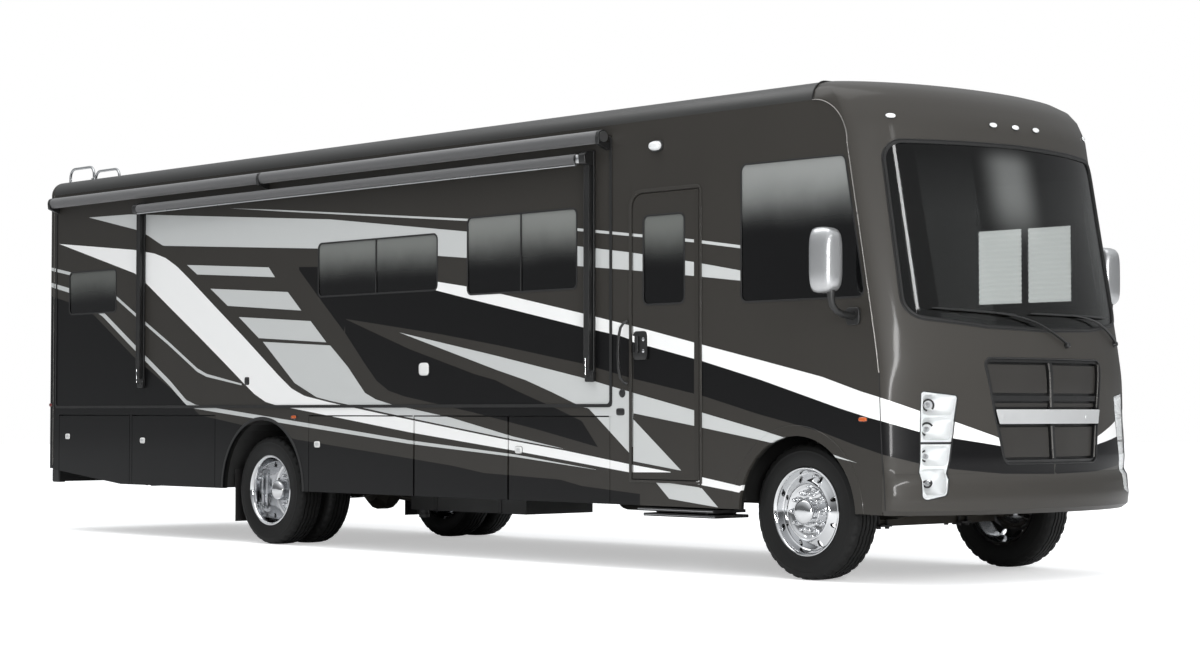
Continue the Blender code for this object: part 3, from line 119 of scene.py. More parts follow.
FINISHES = {
    # key: name, tone, other tone, roughness, wander, grain mm, height mm, patch mm, settings
    # sprayed gelcoat: a soft sheen that weather dulls in patches
    "roof": ("Gelcoat roof skin, sprayed black", "#2b2b2a", "#323231", 0.42, 0.05, 3.0, 0.03, 900, {}),
    # powder coat: even satin black with a trace of orange peel
    "black": ("Powder-coated steel, satin black", "#141414", "#1c1c1c", 0.38, 0.06, 1.2, 0.03, 300, {}),
    # moulded matt plastic, with the fine grain of its tool
    "trim": ("Moulded polypropylene trim, black", "#111112", "#191919", 0.5, 0.06, 0.9, 0.04, 250, {}),
    # rubber: nearly no gloss, darker than the trim beside it
    "seal": ("Extruded rubber seal", "#0c0c0c", "#141414", 0.62, 0.06, 2.0, 0.05, 200, {}),
    # tyres: a deep black that greys a little where dust holds
    "rubber": ("Vulcanised tyre rubber", "#0b0b0b", "#121211", 0.6, 0.06, 1.6, 0.08, 260,
        {"Specular IOR Level": 0.3}),
    # mirror bright, with long faint waves from polishing
    "chrome": ("Polished chrome plate", "#d8d9da", "#cfd0d2", 0.07, 0.02, 60.0, 0.02, 500,
        {"Metallic": 1.0}),
    # drawn metal whose fine lines spread the highlight
    "aluminium": ("Brushed aluminium extrusion", "#b9babb", "#a9abad", 0.3, 0.05, 0.8, 0.02, 300,
        {"Metallic": 1.0}),
    # chassis paint, uneven, with a hint of rust in the tone
    "steel": ("Rolled steel, painted chassis black", "#1b1b1c", "#262423", 0.55, 0.08, 2.5, 0.1, 220, {}),
    # sand-cast skin: a coarse relief that breaks up the light
    "cast": ("Cast iron, oiled", "#3a3834", "#4b463f", 0.58, 0.1, 1.8, 0.25, 120, {"Metallic": 0.7}),
    # rotomoulded: the faint orange peel of a slowly cooled wall
    "tank": ("Rotomoulded polyethylene", "#2a2a2a", "#333332", 0.5, 0.05, 4.0, 0.15, 300, {}),
    # printed oak boards under a hard, slightly glossy film
    "laminate": ("Oak plank laminate", "#8a7358", "#75603f", 0.42, 0.06, 6.0, 0.05, 160, {}),
    # slush-moulded skin: a leather-like grain without shine
    "dash": ("Slush-moulded dashboard skin", "#2b2a29", "#353331", 0.58, 0.05, 0.9, 0.1, 200, {}),
    # pores and creases of a tanned hide, a little shiny where worn
    "leather": ("Tanned leather, taupe", "#7b6f62", "#6b6054", 0.48, 0.07, 2.2, 0.2, 120, {}),
    # silver lacquer over moulded ABS: metallic below, clear above
    "shell": ("Moulded mirror shell, silver lacquer", "#b9babb", "#acadae", 0.3, 0.04, 1.5, 0.01, 400,
        {"Metallic": 0.75, "Coat Weight": 0.3, "Coat Roughness": 0.08}),
    # woven acrylic: a matt thread structure with a soft sheen
    "fabric": ("Acrylic awning cloth, woven", "#39393a", "#444445", 0.55, 0.05, 0.7, 0.15, 300,
        {"Sheen Weight": 0.4}),
    # the body colour without graphics, under a thin clear coat
    "charcoal": ("Two-stage charcoal paint, plain trim", "#33312e", "#3a3835", 0.36, 0.04, 1.1, 0.01, 900,
        {"Coat Weight": 0.16, "Coat Roughness": 0.09, "Specular IOR Level": 0.2}),
    # anodised: metallic grey with a soft highlight
    "moulding": ("Anodised cap moulding, grey", "#8d8b88", "#7e7c79", 0.28, 0.04, 0.8, 0.01, 300,
        {"Metallic": 0.6}),
    # ABS caps: bright and plain, as they catch the light
    "white": ("Injection-moulded ABS, white", "#e6e6e4", "#dcdcda", 0.4, 0.05, 1.0, 0.02, 200, {}),
    # metallised plastic: bright but slightly milky, not a mirror
    "reflector": ("Vacuum-metallised reflector", "#eef0ef", "#e6e8e7", 0.36, 0.05, 8.0, 0.01, 90,
        {"Metallic": 0.35}),
    # linished stainless: a pale band without a clear reflection
    "satin": ("Satin stainless trim, linished", "#dcdddd", "#cfd0d0", 0.34, 0.05, 0.6, 0.01, 200,
        {"Metallic": 0.55}),
    # coloured acrylic with moulded ribs under a glossy face
    "amber": ("Moulded acrylic lens, amber", "#c2560a", "#a84404", 0.18, 0.04, 2.5, 0.15, 60,
        {"Coat Weight": 0.6}),
    # the same lens in red
    "red": ("Moulded acrylic lens, red", "#7c0b0c", "#640608", 0.18, 0.04, 2.5, 0.15, 60,
        {"Coat Weight": 0.6}),
    # frosted from behind, so that it glows without showing a bulb
    "clear": ("Moulded acrylic lens, frosted clear", "#e9eaea", "#dcdede", 0.22, 0.05, 2.0, 0.1, 60,
        {"Coat Weight": 0.5}),
    # paint on plywood: flat, with a little grain telegraphing through
    "panel": ("Painted plywood interior panel", "#6e6a62", "#635f57", 0.6, 0.05, 5.0, 0.05, 500, {}),
    # smooth gloss panel, a shade lighter than the hollow round it
    "pane": ("Gloss-painted grille panel", "#2b2927", "#312f2c", 0.34, 0.05, 2.0, 0.01, 300,
        {"Coat Weight": 0.2}),
    # pale moulded cover that shows behind the glass
    "pillar": ("Moulded pillar cover, pale grey", "#a9a9a6", "#9d9d9a", 0.5, 0.05, 1.0, 0.05, 200, {}),
    # painted light: the cloth glows by emission, which stands in for daylight through the pleats
    "shade": ("Pleated day shade, polyester", "#d9d9d6", "#cfcfcc", 0.85, 0.04, 0.8, 0.1, 150,
        {"Emission Color": (1.0, 1.0, 1.0, 1.0), "Emission Strength": 3.4}),
    # silvered glass: a near perfect mirror, slightly grey
    "mirror": ("Silvered mirror glass", "#aeb2b4", "#a3a7a9", 0.03, 0.01, 300.0, 0.01, 300,
        {"Metallic": 1.0}),
}
FINISH = {}
for key, row in FINISHES.items():
    FINISH[key] = finish(*row[:8], **{k.replace(" ", "_"): v for k, v in row[8].items()})
print(len(FINISH), "plain finishes:", ", ".join(FINISH))

# %% [markdown]
# ## Body paint with its graphics
# The graphics are the same on both sides and wrap round the nose. Measured along a side, s is X plus the
# way in from the side wall, so that it keeps growing round the corner and across the front. Each stripe is
# the area between two edges, and each edge is a curve of height over s.

# %% Stripe outlines
HALF_WIDTH = 1.2825
SILVER, WHITE, BLACK, CHARCOAL = "#c2c4c3", "#efefee", "#0c0c0d", "#33312e"
STRIPES = [
    # name, colour, top edge, lower edge: points (s, height)
    ("lower field", BLACK,
     [(-7.0, 2.25), (-5.377, 2.238), (-5.029, 2.164), (-4.591, 2.037), (-3.879, 1.628), (-2.978, 1.202),
      (-2.785, 1.097), (-2.254, 1.031), (-1.334, 0.897), (-0.284, 0.805), (0.746, 0.711), (1.126, 0.662),
      (2.001, 0.63), (2.243, 0.588), (2.859, 0.545)],
     [(-7.0, 0.2), (2.859, 0.2)]),
    ("window field", BLACK,
     [(-1.301, 2.34), (-1.02, 2.33), (0.5, 2.1), (0.924, 2.001), (2.24, 1.747), (2.65, 1.674),
      (2.939, 1.595), (3.485, 1.48), (4.041, 1.346), (4.739, 1.157), (5.466, 0.999), (5.797, 0.956),
      (6.182, 0.913), (6.8, 0.86)],
     [(-1.301, 2.315), (-0.94, 2.01), (-0.653, 1.772), (-0.641, 1.886), (0.593, 1.733), (1.275, 1.635),
      (2.24, 1.481), (2.796, 1.363), (3.485, 1.24), (4.04, 1.109), (4.604, 0.996), (4.873, 0.918),
      (5.134, 0.852), (5.463, 0.796), (5.787, 0.757), (6.271, 0.724), (6.8, 0.716)]),
    ("blade field", BLACK,
     [(-0.653, 1.886), (0.208, 1.622), (1.016, 1.416), (1.255, 1.37), (1.51, 1.286), (2.003, 1.139),
      (2.242, 1.06), (2.416, 0.872)],
     [(-0.653, 1.772), (-0.387, 1.519), (-0.227, 1.377), (-0.07, 1.297), (0.132, 1.251), (0.999, 1.123),
      (1.759, 0.994), (2.416, 0.872)]),
    ("upper band", SILVER,
     [(-4.687, 2.953), (-3.969, 2.94), (-3.668, 2.919), (-0.866, 2.715), (0.91, 2.518), (2.177, 2.343),
      (2.754, 2.269), (3.408, 2.17), (3.9, 2.085)],
     [(-4.687, 2.953), (-3.873, 2.796), (-3.666, 2.733), (-3.402, 2.623), (-1.033, 2.482), (0.534, 2.349),
      (2.177, 2.197), (2.754, 2.142), (3.408, 2.073), (3.9, 2.018)]),
    ("upper pinstripe", SILVER,
     [(-2.339, 2.897), (-1.581, 2.836), (0.91, 2.617), (2.176, 2.475), (2.754, 2.406), (3.408, 2.328),
      (3.9, 2.259)],
     [(-2.339, 2.897), (-1.581, 2.824), (0.91, 2.6), (2.176, 2.455), (3.408, 2.307), (3.9, 2.238)]),
    ("swoosh", WHITE,
     [(-5.227, 2.731), (-3.886, 2.609), (-3.54, 2.559), (-3.354, 2.509), (-3.171, 2.426), (-2.96, 2.301),
      (-2.547, 2.042), (-2.117, 1.774), (-1.59, 1.434), (-1.402, 1.323), (-1.215, 1.26), (-0.856, 1.205),
      (-0.177, 1.114), (0.3, 1.054), (1.385, 0.918), (2.051, 0.844), (2.744, 0.755), (3.171, 0.707)],
     [(-5.227, 2.731), (-3.868, 2.392), (-3.678, 2.293), (-3.288, 2.065), (-2.837, 1.806), (-2.397, 1.547),
      (-2.114, 1.376), (-1.946, 1.279), (-1.78, 1.212), (-1.642, 1.186), (-1.278, 1.144), (0.19, 0.968),
      (1.474, 0.837), (2.743, 0.697), (3.171, 0.704)]),
    ("slat 1", SILVER, [(-3.007, 2.432), (-1.742, 2.356), (-1.651, 2.269)],
     [(-3.007, 2.432), (-2.842, 2.341), (-1.651, 2.269)]),
    ("slat 2", SILVER, [(-2.63, 2.207), (-1.462, 2.136), (-1.266, 1.974)],
     [(-2.63, 2.207), (-2.36, 2.048), (-1.266, 1.974)]),
    ("slat 3", SILVER, [(-2.189, 1.946), (-1.133, 1.882), (-0.911, 1.701)],
     [(-2.189, 1.946), (-1.885, 1.757), (-0.911, 1.701)]),
    ("slat 4", SILVER,
     [(-1.824, 1.724), (-0.857, 1.674), (-0.611, 1.492), (-0.496, 1.386), (-0.38, 1.28), (-0.235, 1.227),
      (0.021, 1.177), (0.133, 1.165), (0.735, 1.081), (1.461, 0.943), (2.056, 0.855)],
     [(-1.824, 1.724), (-1.357, 1.369), (-1.048, 1.25), (-0.856, 1.219), (0.133, 1.089), (1.461, 0.921),
      (2.056, 0.855)]),
    ("rear pinstripe", SILVER,
     [(-7.0, 2.535), (-5.432, 2.521), (-5.033, 2.455), (-4.183, 2.193), (-3.878, 2.039), (-3.285, 1.748),
      (-2.833, 1.511), (-2.685, 1.461), (-2.141, 1.37)],
     [(-7.0, 2.505), (-5.432, 2.491), (-5.033, 2.425), (-4.183, 2.163), (-3.878, 2.009), (-3.285, 1.718),
      (-2.833, 1.481), (-2.685, 1.435), (-2.141, 1.356)]),
    ("low pinstripe", SILVER,
     [(-7.0, 2.39), (-5.429, 2.375), (-5.031, 2.3), (-4.425, 2.06), (-3.875, 1.745), (-3.281, 1.411),
      (-3.01, 1.234), (-2.859, 1.191), (-0.994, 1.017), (0.191, 0.904), (1.511, 0.806), (2.395, 0.71)],
     [(-7.0, 2.35), (-5.429, 2.335), (-5.031, 2.256), (-4.425, 2.012), (-3.875, 1.695), (-3.281, 1.361),
      (-3.01, 1.19), (-2.859, 1.155), (-0.994, 0.983), (0.191, 0.876), (1.511, 0.788), (2.395, 0.709)]),
    ("blade", SILVER,
     [(0.069, 1.759), (1.276, 1.552), (2.24, 1.378), (2.796, 1.262), (3.478, 1.124), (4.04, 1.007),
      (4.307, 0.948), (4.911, 0.797)],
     [(0.069, 1.759), (1.276, 1.445), (1.61, 1.366), (1.905, 1.275), (2.242, 1.163), (2.312, 1.154),
      (2.453, 1.052), (2.755, 0.829), (2.777, 0.829), (2.778, 1.12), (3.406, 1.031), (4.04, 0.937),
      (4.637, 0.845), (4.911, 0.797)]),
    ("door wedge", SILVER, [(2.778, 1.083), (3.278, 0.718)], [(2.778, 0.778), (3.278, 0.718)]),
    ("sill block", SILVER, [(3.011, 0.64), (3.477, 0.603), (3.64, 0.472)],
     [(3.011, 0.64), (3.157, 0.519), (3.64, 0.472)]),
    ("sill dash", WHITE, [(3.405, 0.632), (3.477, 0.677), (3.852, 0.623), (3.935, 0.648)],
     [(3.405, 0.632), (3.477, 0.622), (3.846, 0.579), (3.935, 0.648)]),
    ("main stripe", WHITE,
     [(0.531, 2.147), (0.916, 2.093), (1.312, 2.024), (2.24, 1.848), (2.947, 1.708), (3.486, 1.593),
      (4.042, 1.478), (4.605, 1.359), (4.939, 1.262), (5.467, 1.134), (5.817, 1.06), (6.183, 0.971),
      (6.268, 0.948)],
     [(0.531, 2.078), (0.924, 2.001), (2.24, 1.747), (2.65, 1.674), (2.939, 1.595), (3.485, 1.48),
      (4.041, 1.346), (4.739, 1.157), (5.005, 1.092), (5.466, 0.999), (5.797, 0.956), (6.182, 0.913),
      (6.268, 0.902)]),
]
print(len(STRIPES), "stripes, from s", min(row[2][0][0] for row in STRIPES), "to",
    max(row[2][-1][0] for row in STRIPES))


# %% Paint shader
def edge_height(tree, along, points):
    """Height of a stripe's edge at each place along, from a curve through its points."""
    low, high = points[0][0], points[-1][0]
    share = add(tree, "MapRange", {"Value": along, "From Min": low, "From Max": high})
    curve = add(tree, "FloatCurve", {"Value": share})
    spots = curve.mapping.curves[0].points
    spots[0].location, spots[1].location = (0, points[0][1] / 4), (1, points[-1][1] / 4)
    for s, z in points[1:-1]:
        spots.new((s - low) / (high - low), z / 4)
    for spot in spots:
        spot.handle_type = "VECTOR"
    curve.mapping.update()
    return add(tree, "Math", {0: curve, 1: 4.0}, operation="MULTIPLY")


def inside(tree, value, low, high):
    """1 where value lies between low and high, else 0."""
    over = add(tree, "Math", {0: value, 1: low}, operation="GREATER_THAN")
    under = add(tree, "Math", {0: value, 1: high}, operation="LESS_THAN")
    return add(tree, "Math", {0: over, 1: under}, operation="MULTIPLY")


def body_paint(name, base, wrap, jambs, lined):
    """Two-stage paint: metallic flake under clear coat, with the graphics masked over it."""
    made, tree, surface = shader(name, Coat_Weight=0.16, Coat_Roughness=0.09, Specular_IOR_Level=0.14)
    place = add(tree, "TexCoord").outputs["Object"]
    split = add(tree, "SeparateXYZ", {"Vector": place})
    x, y, z = split.outputs
    across = add(tree, "Math", {0: y}, operation="ABSOLUTE")
    along = x
    if wrap:
        inward = add(tree, "Math", {0: HALF_WIDTH, 1: across}, operation="SUBTRACT")
        along = add(tree, "Math", {0: x, 1: inward}, operation="ADD" if wrap > 0 else "SUBTRACT")
    # real flakes are 0.05 mm; these are 1.1 mm, as coarse as they need to be to show
    flake = add(tree, "TexNoise", {"Vector": place, "Scale": 900.0, "Detail": 1.0})
    cloud = add(tree, "TexNoise", {"Vector": place, "Scale": 1.3, "Detail": 3.0})
    tones = [linear(base), tuple(v * 1.12 for v in linear(base)[:3]) + (1.0,)]
    colour = add(tree, "Mix", {"Factor": cloud, "A": tones[0], "B": tones[1]}, data_type="RGBA")
    for label, tone, top, low in STRIPES:
        mask = inside(tree, z, edge_height(tree, along, low), edge_height(tree, along, top))
        span = inside(tree, along, top[0][0], top[-1][0])
        mask = add(tree, "Math", {0: mask, 1: span}, operation="MULTIPLY", label=label)
        colour = add(tree, "Mix", {"Factor": mask, "A": colour, "B": linear(tone)}, data_type="RGBA")
    for low, high in jambs:
        band = inside(tree, x, low, high)
        reach = add(tree, "Math", {0: band, 1: inside(tree, z, 0.6, 2.75)}, operation="MULTIPLY")
        colour = add(tree, "Mix", {"Factor": reach, "A": colour, "B": tones[0]}, data_type="RGBA")
    if lined:
        within = add(tree, "Math", {0: across, 1: HALF_WIDTH - 0.02}, operation="LESS_THAN")
        cabin = add(tree, "Math", {0: z, 1: 1.14}, operation="GREATER_THAN")
        lining = add(tree, "Mix", {"Factor": cabin, "A": linear("#191918"), "B": linear("#57524a")},
            data_type="RGBA")
        colour = add(tree, "Mix", {"Factor": within, "A": colour, "B": lining}, data_type="RGBA")
    gloss = add(tree, "MapRange", {"Value": cloud, "To Min": 0.34, "To Max": 0.42})
    relief = add(tree, "Bump", {"Height": flake, "Distance": 0.00002, "Strength": 0.5})
    for key, value in (("Base Color", colour), ("Roughness", gloss), ("Normal", relief)):
        tree.links.new(next(s for s in value.outputs if s.enabled), surface.inputs[key])
    return made


JAMBS = [(2.751, 2.777), (3.46, 3.478)]
LEAF_BANDS = [(2.777, 2.79), (3.407, 3.46)]
PAINT = {
    "wall": body_paint("Two-stage charcoal paint with graphics, walls", CHARCOAL, 0, JAMBS, True),
    "door": body_paint("Two-stage charcoal paint with graphics, entry door", CHARCOAL, 0, LEAF_BANDS, True),
    "panel": body_paint("Two-stage charcoal paint with graphics, bay doors", CHARCOAL, 0, [], True),
    # painted light: the front cap's base is a lighter charcoal than the walls', for the light falling on the
    # front
    "nose": body_paint("Two-stage charcoal paint with graphics, front cap", "#3a3835", 1, [], False),
    "tail": body_paint("Two-stage charcoal paint with graphics, rear cap", CHARCOAL, -1, [], False),
}
print({key: len(paint.node_tree.nodes) for key, paint in PAINT.items()}, "nodes in each paint")

# %% [markdown]
# ## Tinted glass
# Privacy glass turns black towards the sill. The pale sky it mirrors near its top edge is a painted
# reflection in its base colour, which fades from each window's own top, so its height is read from the CAD
# pane.


# %% Window glass
def window_glass(name, low, high, painted_sky_tone, reach):
    """Dark glass with a painted reflection of a pale sky in its colour, fading out below the window's top.
    """
    made, tree, surface = shader(name, Specular_IOR_Level=0.6, Coat_Weight=0.25, Coat_Roughness=0.02)
    place = add(tree, "TexCoord").outputs["Object"]
    z = add(tree, "SeparateXYZ", {"Vector": place}).outputs["Z"]
    haze = add(tree, "TexNoise", {"Vector": place, "Scale": 2.5, "Detail": 3.0})
    shift = add(tree, "Math", {0: haze, 1: 0.1, 2: z}, operation="MULTIPLY_ADD")
    share = add(tree, "MapRange", {"Value": shift, "From Min": high + 0.05 - reach * (high - low),
        "From Max": high + 0.05}, interpolation_type="SMOOTHERSTEP")
    # painted reflection: the base colour runs from black at the sill to a pale sky tone near the top, its
    # edge wobbled by the haze noise
    tint = add(tree, "Mix", {"Factor": share, "A": linear("#060607"), "B": linear(painted_sky_tone)},
        data_type="RGBA")
    smear = add(tree, "MapRange", {"Value": haze, "To Min": 0.03, "To Max": 0.09})
    tree.links.new(next(s for s in tint.outputs if s.enabled), surface.inputs["Base Color"])
    tree.links.new(smear.outputs[0], surface.inputs["Roughness"])
    return made


PANES = [
    # node, painted sky reflection at the top, share of the height that the fade takes
    ("slide_glass_rear", "#5e605d", 0.85), ("slide_glass_middle", "#777976", 0.85),
    ("slide_glass_front", "#80827f", 0.75), ("entry_door_glass", "#6a6c69", 0.65),
    ("cab_glass_curb", "#8c8e8c", 0.55), ("cab_glass_street", "#8c8e8c", 0.55),
    ("street_glass_middle", "#777976", 0.85), ("street_glass_rear", "#5e605d", 0.85),
]
pane_glass = {}
for node, tone, reach in PANES:
    low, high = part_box(node)
    pane_glass[node] = window_glass("Tinted safety glass, " + node.replace("_", " "), low.z, high.z, tone,
        reach)

# %% [markdown]
# The windscreen is clear enough to show the cab behind it, with a dark shade band along its top. A pale
# column up its middle glows by emission: a painted reflection.

# %% Windscreen glass
screen, tree, surface = shader("Laminated windscreen glass, green tint", IOR=1.42, Transmission_Weight=1.0,
    Emission_Color=(0.93, 0.96, 0.95, 1.0))
place = add(tree, "TexCoord").outputs["Object"]
split = add(tree, "SeparateXYZ", {"Vector": place})
band = add(tree, "MapRange", {"Value": split.outputs["Z"], "From Min": 2.45, "From Max": 2.85})
grime = add(tree, "TexNoise", {"Vector": place, "Scale": 6.0, "Detail": 5.0})
tint = add(tree, "Mix", {"Factor": band, "A": linear("#656867"), "B": linear("#171818")}, data_type="RGBA")
smear = add(tree, "MapRange", {"Value": grime, "From Min": 0.4, "From Max": 0.8, "To Min": 0.01,
    "To Max": 0.05})
# painted reflection: a pale column up the middle of the glass, between 2.15 m and 2.95 m, glows by emission
from_middle = add(tree, "Math", {0: split.outputs["Y"], 1: -0.12}, operation="SUBTRACT")
from_middle = add(tree, "Math", {0: from_middle}, operation="ABSOLUTE")
reflection_column = add(tree, "MapRange", {"Value": from_middle, "From Min": 0.36, "From Max": 0.0},
    interpolation_type="SMOOTHERSTEP")
rise = add(tree, "MapRange", {"Value": split.outputs["Z"], "From Min": 2.15, "From Max": 2.65},
    interpolation_type="SMOOTHERSTEP")
fall = add(tree, "MapRange", {"Value": split.outputs["Z"], "From Min": 2.95, "From Max": 2.75},
    interpolation_type="SMOOTHERSTEP")
painted_reflection = add(tree, "Math", {0: reflection_column, 1: rise}, operation="MULTIPLY")
painted_reflection = add(tree, "Math", {0: painted_reflection, 1: fall}, operation="MULTIPLY")
painted_reflection = add(tree, "Math", {0: painted_reflection, 1: 0.13}, operation="MULTIPLY")
tree.links.new(tint.outputs[2], surface.inputs["Base Color"])
tree.links.new(smear.outputs[0], surface.inputs["Roughness"])
tree.links.new(painted_reflection.outputs[0], surface.inputs["Emission Strength"])

# %% [markdown]
# ## Dress the CAD nodes
# Each node takes one material in place of its CAD colour. The mesh itself stays as packed.

# %% Materials on CAD nodes
DRESS = {
    "roof": ["roof"],
    "black": ["grille", "wiper_curb", "wiper_street", "awning", "slide_topper", "rear_bumper"],
    "steel": ["chassis_frame", "entry_step"],
    "cast": ["front_axle", "rear_axle", "knuckle_curb", "knuckle_street", "engine_block"],
    "tank": ["waste_tank", "baggage_bays_curb", "baggage_bays_street", "floor_pan"],
    "dash": ["dashboard"],
    "leather": ["seat_driver", "seat_passenger"],
    "aluminium": ["ladder"],
    "shell": ["mirror_curb", "mirror_street"],
    "trim": ["air_conditioner_front", "air_conditioner_rear"],
    "chrome": ["headlamp_curb", "headlamp_street", "front_rim_curb", "front_rim_street", "rear_rims_curb",
               "rear_rims_street"],
    "rubber": [n for n in nodes if "tyre" in n],
}


def dress(node, made):
    """Gives every face of a CAD node the same material."""
    mesh = nodes[node].data
    mesh.materials.clear()
    mesh.materials.append(made)


for key, names in DRESS.items():
    for node in names:
        dress(node, FINISH[key])
for node in ("curb_wall", "street_wall", "slide_room"):
    dress(node, PAINT["wall"])
for node in nodes:
    if node.startswith("bay_door"):
        dress(node, PAINT["panel"])
dress("entry_door", PAINT["door"])
dress("front_cap", PAINT["nose"])
dress("rear_cap", PAINT["tail"])
dress("windscreen", screen)
for node, made in pane_glass.items():
    dress(node, made)
plain = [n for n, o in nodes.items() if not o.data.materials or not o.data.materials[0].use_nodes]
print("nodes without a procedural material:", plain)

# %% [markdown]
# ## Modelling helpers
# Trim is built in bmesh: each helper adds one form to a mesh in work, and piece() turns the result into an
# object that rides on a CAD body. Edges that should be soft get a small bevel.


# %% Forms and pieces
SIDES = ((-1, "curb"), (1, "street"))


def placed(name, data):
    """A new object in the scene."""
    item = bpy.data.objects.new(name, data)
    bpy.context.collection.objects.link(item)
    return item


def solid(work, name="tool"):
    """A bare object from a bmesh, for cutting. The bmesh is used up."""
    bmesh.ops.recalc_face_normals(work, faces=work.faces)
    mesh = bpy.data.meshes.new(name)
    work.to_mesh(mesh)
    work.free()
    return placed(name, mesh)


def smoothed(name, work, made, angle):
    """A shaded mesh from a bmesh, smooth but for edges sharper than angle degrees. The bmesh is used up."""
    bmesh.ops.recalc_face_normals(work, faces=work.faces)
    mesh = bpy.data.meshes.new(name)
    work.to_mesh(mesh)
    work.free()
    mesh.materials.append(made)
    mesh.shade_smooth()
    mesh.set_sharp_from_angle(angle=radians(angle))
    return mesh


def piece(name, work, made, body="coach", edge=0.0, smooth=38):
    """An object from a bmesh in one finish or material, smooth but for its sharp edges, riding on body."""
    mesh = smoothed(name, work, FINISH[made] if isinstance(made, str) else made, smooth)
    item = placed(name, mesh)
    if edge:
        soften = item.modifiers.new("Soft edges", "BEVEL")
        soften.width, soften.segments, soften.limit_method = edge, 2, "ANGLE"
        soften.angle_limit = radians(35)
    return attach(item, body)


def shaped(name, made, form, *shape, body="coach", edge=0.0, smooth=38, **more):
    """A piece of a single form."""
    work = bmesh.new()
    form(work, *shape, **more)
    return piece(name, work, made, body, edge, smooth)


print("sides:", ", ".join(word for side, word in SIDES))


# %% Lofted, turned and swept forms
def loft(work, rings, closed=False, capped=True):
    """Skins a row of rings that have the same number of points."""
    rows = [[work.verts.new(point) for point in ring] for ring in rings]
    count = len(rings[0])
    for k in range(len(rows) if closed else len(rows) - 1):
        near, far = rows[k], rows[(k + 1) % len(rows)]
        for i in range(count):
            j = (i + 1) % count
            work.faces.new((near[i], near[j], far[j], far[i]))
    if capped and not closed:
        work.faces.new(list(reversed(rows[0])))
        work.faces.new(rows[-1])


def turns(steps, whole=tau):
    """Evenly spaced angles: all the way round, or both ends of part of a turn."""
    return [whole * k / steps for k in range(steps if whole == tau else steps + 1)]


def squared(turn, power):
    """A point of the unit circle at an angle, pushed towards the corners of its square."""
    return [copysign(abs(way) ** power, way) for way in (cos(turn), sin(turn))]


def turn_axis(axis, along, a, b):
    """A point from its distance along an axis and the other two coordinates in order."""
    return {"x": (along, a, b), "y": (a, along, b), "z": (a, b, along)}[axis]


def prism(work, outline, axis, low, high):
    loft(work, [[turn_axis(axis, level, a, b) for a, b in outline] for level in (low, high)])


def block(work, low, high):
    outline = [(low[0], low[1]), (high[0], low[1]), (high[0], high[1]), (low[0], high[1])]
    prism(work, outline, "z", low[2], high[2])


def lathe(work, profile, centre, axis="y", steps=48, shape=None):
    """Turns a closed profile of (radius, distance along the axis) round a line through centre."""
    spare = [k for k in range(3) if "xyz"[k] != axis]
    rings = []
    for k in range(steps):
        angle = tau * k / steps
        ring = []
        for i, (radius, along) in enumerate(profile):
            if shape:
                radius, along = shape(i, k, radius, along)
            ring.append(turn_axis(axis, centre["xyz".index(axis)] + along,
                centre[spare[0]] + radius * cos(angle), centre[spare[1]] + radius * sin(angle)))
        rings.append(ring)
    loft(work, rings, closed=True)
    bmesh.ops.remove_doubles(work, verts=work.verts, dist=0.00005)


def tube(work, points, radius, sides=12, flat=1.0):
    """A rod along points. radius is one number or one for each point; flat squashes its section."""
    points = [Vector(p) for p in points]
    widths = radius if hasattr(radius, "__len__") else [radius] * len(points)
    side = None
    rings = []
    for k, point in enumerate(points):
        way = (points[min(k + 1, len(points) - 1)] - points[max(k - 1, 0)]).normalized()
        if side is None:
            side = way.cross(Vector((0, 0, 1)) if abs(way.z) < 0.9 else Vector((1, 0, 0))).normalized()
        side = (side - way * side.dot(way)).normalized()
        up = way.cross(side)
        rings.append([point + widths[k] * (side * cos(t) + up * flat * sin(t)) for t in turns(sides)])
    loft(work, rings)


print("a quarter turn in four steps:", [round(t, 3) for t in turns(4, pi / 2)])


# %% Rounded outlines
def rounded(corners, steps=5):
    """A polygon of (a, b, radius) corners with its corners rounded."""
    result = []
    for k, (a, b, radius) in enumerate(corners):
        here = Vector((a, b))
        before, after = Vector(corners[k - 1][:2]) - here, Vector(corners[(k + 1) % len(corners)][:2]) - here
        if radius <= 0:
            result.append((a, b))
            continue
        half = before.angle(after) / 2
        reach = radius / tan(half)
        start, end = here + before.normalized() * reach, here + after.normalized() * reach
        centre = here + (before.normalized() + after.normalized()).normalized() * radius / sin(half)
        first, last = start - centre, end - centre
        sweep = first.angle_signed(last)
        for i in range(steps + 1):
            turn = Matrix.Rotation(-sweep * i / steps, 2)
            spot = centre + turn @ first
            result.append((spot.x, spot.y))
    return result


def rectangle(low_a, high_a, low_b, high_b, radius=0.0):
    return rounded([(low_a, low_b, radius), (high_a, low_b, radius), (high_a, high_b, radius),
        (low_a, high_b, radius)])


def frame_ring(work, outer, inner, axis, low, high):
    """A flat ring between two outlines of the same length, from low to high along axis."""
    levels = ((outer, low), (outer, high), (inner, high), (inner, low))
    loft(work, [[turn_axis(axis, level, a, b) for a, b in line] for line, level in levels], closed=True)


print("corner of a test outline:", [round(v, 3) for v in rectangle(0, 1, 0, 1, 0.1)[1]])

# %% [markdown]
# ## The nose surface
# Lamps, trim and wipers on the front cap need points on its surface. Its plan is a superellipse whose
# front, half width and corner depth change with height.

